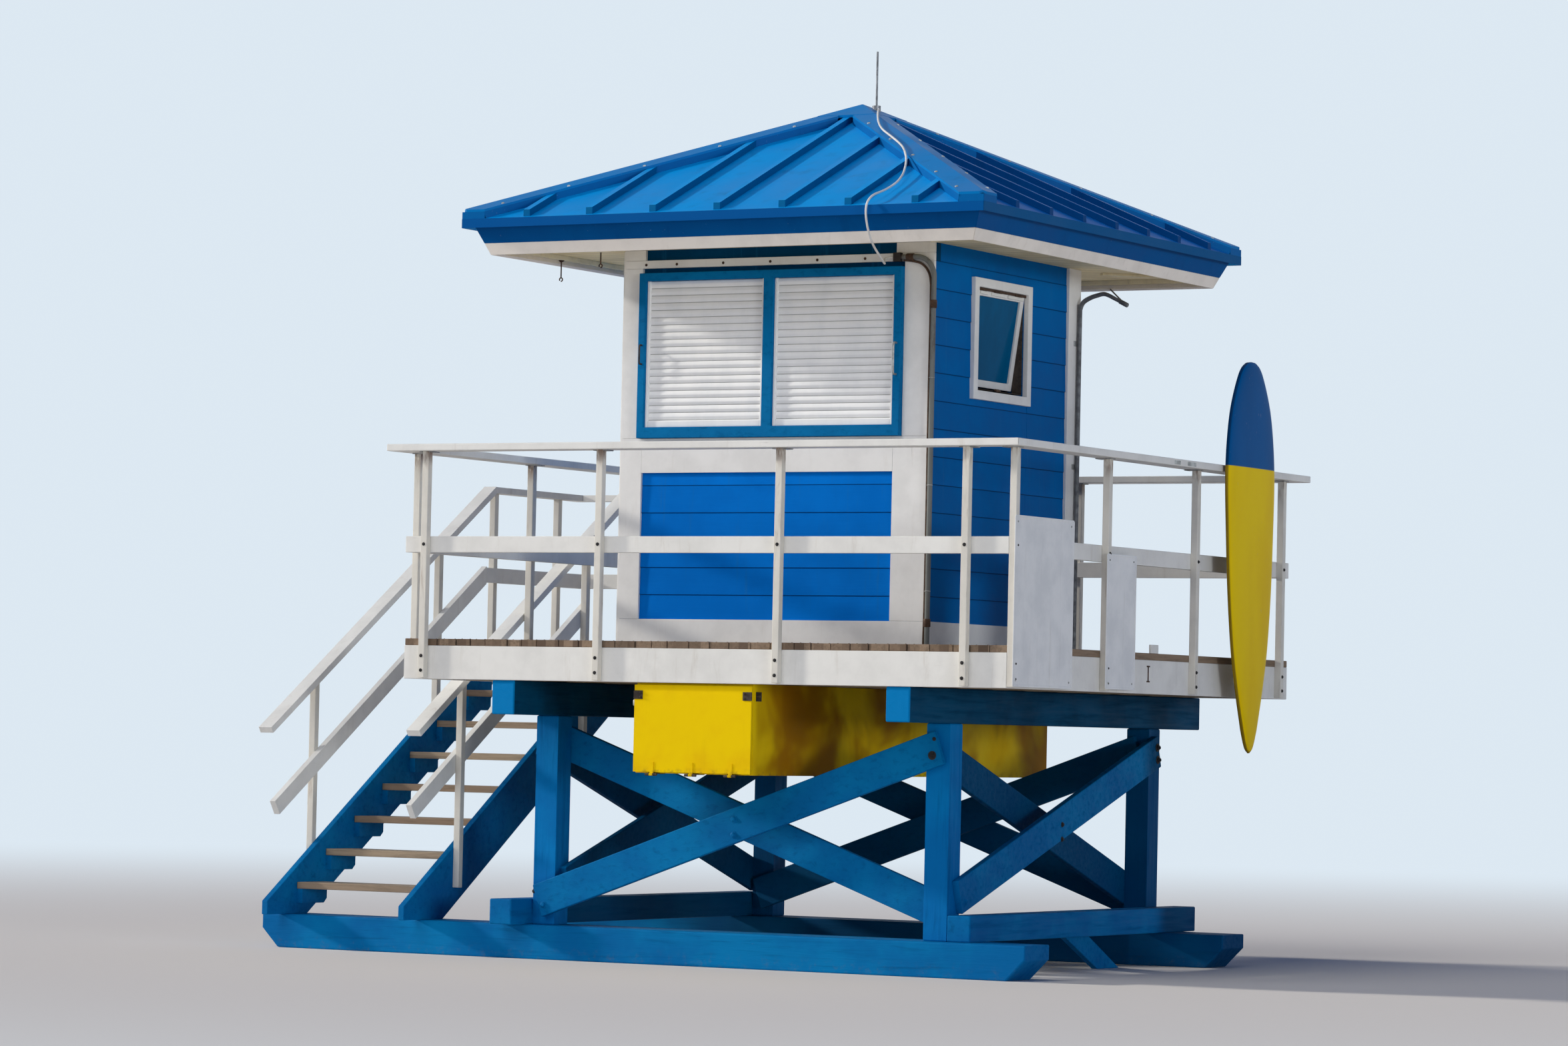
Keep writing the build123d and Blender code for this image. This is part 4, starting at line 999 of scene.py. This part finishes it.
def eave():
    """Battens under the soffit, one along each mitre and one round the rim, and two hooks on the left."""
    inner, outer, z = 1.02, 1.47, SOFFIT_Z - 0.007
    middle = row([(0, ROOF_Y, 0)])[0]
    starts = np.column_stack([CORNERS * inner, np.full(4, z)]) + middle
    ends = np.column_stack([CORNERS * outer, np.full(4, z)]) + middle
    mitres = bars(starts, ends, 0.045, 0.014, (0, 0, 1), 0.002)
    piece("mitre_battens", *mitres, "soffit_strip", "cream_soffit")
    ring = np.column_stack([CORNERS * 1.478, np.full(4, z - 0.006)]) + middle
    rim = bars(ring, np.roll(ring, -1, axis=0), 0.040, 0.026, (0, 0, 1), 0.002)
    piece("eave_battens", *rim, "soffit_strip", "cream_soffit")
    hooks = []
    for x, y, base, drop in ((-1.478, -0.850, 0.026, 0.125), (-1.095, -1.050, 0.0, 0.075)):
        a = np.linspace(-0.5 * np.pi, 1.2 * np.pi, 16)
        level = SOFFIT_Z - drop - 0.010 + 0.010 * np.sin(a)
        bend = np.stack([x + 0.010 * np.cos(a), np.full(16, y), level], axis=1)
        stem = np.array([(x, y, SOFFIT_Z - base + 0.002), (x, y, SOFFIT_Z - drop)])
        hooks += [tube(row(bend), 0.0035, 8), tube(row(stem), 0.0038, 8)]
        foot = row([(x, y, SOFFIT_Z - base + 0.001)])
        hooks.append(turned([(0.017, 0), (0.017, 0.005), (0.007, 0.011)], foot, (0, 0, -1), 12))
    piece("eave_hooks", *joined(*hooks), "rusty", "hinge_metal", smooth=True)


eave()


# Locker fittings


def locker_fittings():
    """Hasps at the top corners of the locker door and of its sides, and a padlock on the left one."""
    z, door_y = 1.462, -1.7485
    left, right = LOCKER_LOW[0], LOCKER_HIGH[0]
    door, body = [], []
    for x, way in ((left, -1), (right, 1)):
        inner = x - way * 0.052
        outer, plate, rivet = x + way * 0.004, x + way * 0.003, inner + way * 0.012
        door.append(bars((inner, door_y, z), (outer, door_y, z), 0.046, 0.005, (0, 1, 0), 0.0015))
        rivets = [(rivet, -1.750, z + 0.012), (rivet, -1.750, z - 0.012)]
        door.append(turned([(0.006, -0.001), (0.006, 0.006), (0.003, 0.008)], rivets, (0, -1, 0), 8))
        body.append(bars((plate, -1.700, z), (plate, -1.645, z), 0.050, 0.005, (way, 0, 0), 0.0015))
        staple = [(0.010, 0), (0.010, 0.020), (0.006, 0.024)]
        body.append(turned(staple, (outer, -1.690, z), (way, 0, 0), 10))
    piece("door_hasps", *joined(*door), "hinge", "hinge_metal", "locker_door")
    piece("side_hasps", *joined(*body), "hinge", "hinge_metal")
    x = left - 0.024
    lock = bars((x, -1.692, 1.402), (x, -1.692, 1.436), 0.036, 0.016, (1, 0, 0), 0.004)
    a = np.linspace(0, np.pi, 14)
    bow = np.stack([np.full(14, x), -1.692 + 0.011 * np.cos(a), 1.452 + 0.013 * np.sin(a)], axis=1)
    bow = np.concatenate([[(x, -1.681, 1.432)], bow, [(x, -1.703, 1.432)]])
    piece("padlock", *joined(lock, tube(bow, 0.0032, 8)), "zinc", "hinge_metal", smooth=True)


locker_fittings()


# Shutter, window and door fittings


def shutter_fittings():
    """A latch and a handle on the jambs of the shutters."""
    y = SHUTTER_LOW[1]
    pull = smooth_line(row([
        (-0.822, y, 3.300), (-0.822, y - 0.022, 3.303), (-0.822, y - 0.026, 3.330),
        (-0.822, y - 0.026, 3.375), (-0.822, y - 0.022, 3.402), (-0.822, y, 3.405)]), 5)
    piece("shutter_latch", *tube(pull, 0.0050), "hinge", "hinge_metal", smooth=True)
    grip = smooth_line(row([
        (0.781, y, 3.22), (0.781, y - 0.030, 3.225), (0.781, y - 0.034, 3.28),
        (0.781, y - 0.034, 3.33), (0.781, y - 0.030, 3.385), (0.781, y, 3.39)]), 5)
    piece("shutter_handle", *tube(grip, 0.006), "zinc", "hinge_metal", smooth=True)


shutter_fittings()


def window_fittings():
    """Hinges over the window and a latch at its foot, white packers, and a dark lining in its opening,
    painted shade for the room inside.
    """
    x, low, head = WINDOW_LOW[0], WINDOW_LOW[2], WINDOW_HIGH[2] - 0.050
    w0, w1 = WINDOW_LOW[1] + 0.052, WINDOW_HIGH[1] - 0.052
    out, level = x + 0.012, head - 0.008
    strip = [bars((out, w0, level), (out, w1, level), 0.006, 0.014, (0, 0, 1), 0.001)]
    for y in (w0 + 0.02, w0 + 0.20, w1 - 0.14):
        strip.append(turned([(0.006, 0), (0.006, 0.085)], (x + 0.017, y, head - 0.012), (0, 1, 0), 10))
    y = (w0 + w1) / 2 - 0.03
    latch = bars((x + 0.004, y, low + 0.068), (x + 0.020, y, low + 0.060), 0.05, 0.012, (0, 0, 1), 0.003)
    piece("window_hinges", *joined(*strip, latch), "rusty", "hinge_metal")
    spans = ((w0 + 0.045, w0 + 0.125), (w0 + 0.175, w0 + 0.345), (w0 + 0.375, w1 - 0.03))
    bits = [bars((x + 0.010, a, head - 0.026), (x + 0.010, b, head - 0.027), 0.010, 0.018, (0, 0, 1), 0.002)
            for a, b in spans]
    piece("window_packers", *joined(*bits), "white_x", "white_trim")

    # A dark lining in the wall's opening, its two sides, its sill and its top: painted shade for the dark
    # room inside
    y0, y1, sill, top = -0.4718, 0.1028, 3.1802, 3.7278
    inner = x - 0.030
    opening_shade = [bars((inner, y, sill), (inner, y, top), 0.003, 0.060, (1, 0, 0), 0.0008)
              for y in (y0 + 0.0015, y1 - 0.0015)]
    opening_shade += [bars((inner, y0, z), (inner, y1, z), 0.060, 0.003, (0, 0, 1), 0.0008)
               for z in (sill + 0.0015, top - 0.0015)]
    piece("window_opening_shade", *joined(*opening_shade), "hinge", "hinge_metal")


window_fittings()


def door_fittings():
    """A lever with its rose and plate, and the knuckles of three hinges, on the entrance door."""
    face, y, z = DOOR_LOW[0], DOOR_LOW[1] + 0.075, DECK_TOP + 1.02
    lever = smooth_line([(face, y, z), (face - 0.030, y, z), (face - 0.048, y + 0.02, z),
                         (face - 0.050, y + 0.12, z - 0.004)], 6)
    rose = turned([(0.026, -0.002), (0.026, 0.006), (0.020, 0.010)], (face, y, z), (-1, 0, 0), 20)
    out = face - 0.0015
    plate = bars((out, y, z - 0.14), (out, y, z + 0.06), 0.048, 0.004, (1, 0, 0), 0.0015)
    hinges = [(face - 0.004, DOOR_HIGH[1] - 0.004, DECK_TOP + height) for height in (0.22, 1.0, 1.76)]
    knuckles = turned([(0.008, -0.05), (0.008, 0.05)], hinges, (0, 0, 1), 10)
    parts = joined(tube(lever, 0.009), rose, plate, knuckles)
    piece("door_lever", *parts, "zinc", "hinge_metal", smooth=True)


door_fittings()


def pipe_fittings():
    """Collars and a brown lead along the conduit, saddles over it and over the lamp arm's pipe."""
    x, y = MIDDLE_X + 0.991, -1.017
    collar = [(0.0175, -0.022), (0.019, -0.018), (0.019, 0.018), (0.0175, 0.022)]
    collars = [turned(collar, [(x, y, 3.597), (x, y, 1.880)], (0, 0, 1), 16)]
    collars.append(turned(collar, (MIDDLE_X + 0.845, y, 3.856), (1, 0, 0), 16))
    bend = smooth_line(row([
        (0.800, -1.010, 3.840), (0.850, -1.010, 3.834), (0.905, -1.010, 3.820), (0.945, -1.010, 3.785),
        (0.966, -1.010, 3.730), (0.970, -1.010, 3.60), (0.969, -1.010, 3.0), (0.970, -1.010, 2.4),
        (0.969, -1.010, 1.95), (0.966, -1.010, 1.765)]), 8)
    collars.append(tube(bend, 0.0065, 8))
    piece("conduit_lead", *joined(*collars), "rusty", "conduit_grey", smooth=True)
    saddles = []
    for z in (2.05, 2.62, 3.20):
        a = np.linspace(0, np.pi, 12)
        path = np.stack([x + 0.0155 * np.cos(a), y - 0.0155 * np.sin(a), np.full(12, z)], axis=1)
        saddles.append(tube(path, 0.0025, 6))
    for z in (2.0, 2.8, 3.5):
        saddles.append(bar((0.986, 0.744, z), (0.986, 0.744, z + 0.03), 0.075, 0.005, (1, 0, 0), 0.0015))
    piece("pipe_saddles", *joined(*saddles), "zinc", "conduit_grey")


pipe_fittings()


def lamp_neck():
    """The lamp's arm: a pipe up the wall that narrows over a smooth bend into its neck, with a socket at the
    end and a thin stay to the eave."""
    arm = smooth_line(row([
        (1.000, 0.744, DECK_TOP), (1.000, 0.744, 2.8), (1.000, 0.744, 3.66), (1.003, 0.744, 3.715),
        (1.022, 0.744, 3.752), (1.065, 0.744, 3.776), (1.110, 0.744, 3.789), (1.148, 0.744, 3.796),
        (1.182, 0.744, 3.786), (1.232, 0.744, 3.761), (1.286, 0.744, 3.734)]), 6)
    radius = np.interp(np.arange(len(arm)), [0, 30, 50, len(arm) - 1], [0.0135, 0.0135, 0.0115, 0.0095])
    tip = np.array([0.895, 0, -0.446])
    socket = turned([(0.009, -0.045), (0.0135, -0.040), (0.0135, 0.012), (0.011, 0.016)], arm[-1], tip, 16)
    base = turned([(0.026, 0.0), (0.026, 0.005), (0.016, 0.009)], arm[0], (0, 0, 1), 16)
    neck = joined(tube(arm, radius, 14), socket, base)
    piece("lamp_neck", *neck, "pipe", "dark_pipe", stands_for=("lamp_arm",), smooth=True)
    stay = tube(row([(1.275, 0.744, 3.742), (0.850, 1.440, 3.889)]), 0.0045, 8)
    piece("lamp_stay", *stay, "pipe", "dark_pipe", smooth=True)


lamp_neck()


# Roof flashings


def roof_flashings():
    """Upright strips that close the gap under the edges and lower ends of the hip caps, and their screws."""
    half = 0.104
    starts, ends, screws, normals = [], [], [], []
    for way in CORNERS:
        out = way / np.sqrt(2)
        across = np.array([-out[1], out[0]])
        for side in (-1, 1):
            line = [t * out + side * half * across for t in (0.17, EAVE_REACH * np.sqrt(2) - half)]
            level = [APEX_Z - ROOF_RISE * np.abs(p).max() + 0.0185 for p in line]
            starts.append((*line[0], level[0]))
            ends.append((*line[1], level[1]))
            starts.append((*line[1], level[1]))
            ends.append((*(way * EAVE_REACH), level[1]))
            for t in (0.42, 0.85, 1.28, 1.71, 2.08):
                spot = t * out + side * 0.085 * across
                steep = np.abs(spot).argmax()
                lean = np.zeros(3)
                lean[steep], lean[2] = np.sign(spot[steep]) * ROOF_RISE, 1
                screws.append((*spot, APEX_Z + 0.052 - ROOF_RISE * np.abs(spot).max()))
                normals.append(lean)
    centre = row([(0, ROOF_Y, 0)])[0]
    strips = bars(np.array(starts) + centre, np.array(ends) + centre, 0.003, 0.039, (0, 0, 1), 0.0008)
    piece("cap_closures", *strips, "closures", "roof_metal")
    caps = heads(np.array(screws) + centre, np.array(normals), 0.010, SCREW, 10)
    piece("cap_screws", *caps, "zinc", "roof_metal")


roof_flashings()


def apex_cap():
    """A low four-sided cap over the point where the hip caps meet, with a short turned-down rim."""
    half, top = 0.186, APEX_Z + 0.0545
    rim = top - ROOF_RISE * half
    levels = ((half - 0.002, rim - 0.016), (half, rim - 0.015), (half, rim - 0.001),
              (half - 0.003, rim + 0.0005), (0.003, top - 0.001))
    rings = [np.column_stack([CORNERS * r, np.full(4, z)]) + row([(0, ROOF_Y, 0)]) for r, z in levels]
    piece("apex_cap", *skin(np.stack(rings)), "caps", "roof_metal")


apex_cap()


# Shutters


def shutters():
    """Curtains of slats in both bays, each slat with a low bulge: one cross-section carried along X,
    between guides, with a bottom rail."""
    z0, face = SLAT_START, SHUTTER_LOW[1] + 0.026
    z1 = z0 + SLAT_COUNT * SLAT_PITCH
    share = np.array([0.0, 0.04, 0.20, 0.42, 0.56, 0.80, 0.95])
    depth = np.array([0.0100, 0.0072, 0.0036, 0.0, 0.0004, 0.0034, 0.0066])
    z = (z0 + SLAT_PITCH * (np.arange(SLAT_COUNT)[:, None] + share)).ravel()
    y = np.tile(face + depth, SLAT_COUNT)
    back = ((face + 0.0100, z1), (face + 0.021, z1), (face + 0.021, z0))
    section = np.concatenate([np.column_stack([y, z]), back])
    curtains, guides = [], []
    for x0, x1 in ((-0.803, -0.053), (0.009, 0.759)):
        ring = np.empty((2, len(section), 3))
        ring[0, :, 0], ring[1, :, 0] = x0 + 0.012 + MIDDLE_X, x1 - 0.012 + MIDDLE_X
        ring[:, :, 1:] = section
        curtains.append(skin(ring))
        for x in (x0 + 0.009, x1 - 0.009):
            foot, head = (x, face + 0.007, z0), (x, face + 0.007, z1)
            guides.append(bar(foot, head, 0.018, 0.030, (0, 1, 0), 0.003))
        y, z = face + 0.004, z0 + 0.018
        guides.append(bar((x0 + 0.018, y, z), (x1 - 0.018, y, z), 0.020, 0.036, (0, 0, 1), 0.004))
    piece("shutter_slats", *joined(*curtains), "slats", "shutter_slats", stands_for=("shutter_curtains",))
    piece("shutter_guides", *joined(*guides), "slat_guides", "shutter_slats")


shutters()


def deck_edge_stub():
    """A short white block on the deck's right edge, a rusty bracket on the fascia, plates on the cap."""
    x, y = HALF_X - 0.010, 0.010
    stub = bar((x, y, DECK_TOP), (x, y, DECK_TOP + 0.047), 0.090, 0.016, (1, 0, 0), 0.002)
    piece("edge_stub", *stub, "white_y", "white_timber")
    x = HALF_X + 0.0015
    bracket = [bar((x, -0.078, 1.591), (x, -0.078, 1.681), 0.009, 0.004, (1, 0, 0), 0.001)]
    bracket += [bar((x, -0.096, z), (x, -0.060, z), 0.004, 0.008, (0, 0, 1), 0.001) for z in (1.595, 1.677)]
    piece("edge_bracket", *joined(*bracket), "rusty", "hinge_metal")
    x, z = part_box("guard_caps")[1][0] - 0.0005, 2.797
    spans = ((0.02, 0.10), (0.19, 0.30))
    plates = [bars((x, y0, z), (x, y1, z), 0.003, 0.022, (0, 0, 1), 0.001) for y0, y1 in spans]
    piece("cap_plates", *joined(*plates), "zinc", "hinge_metal")


deck_edge_stub()
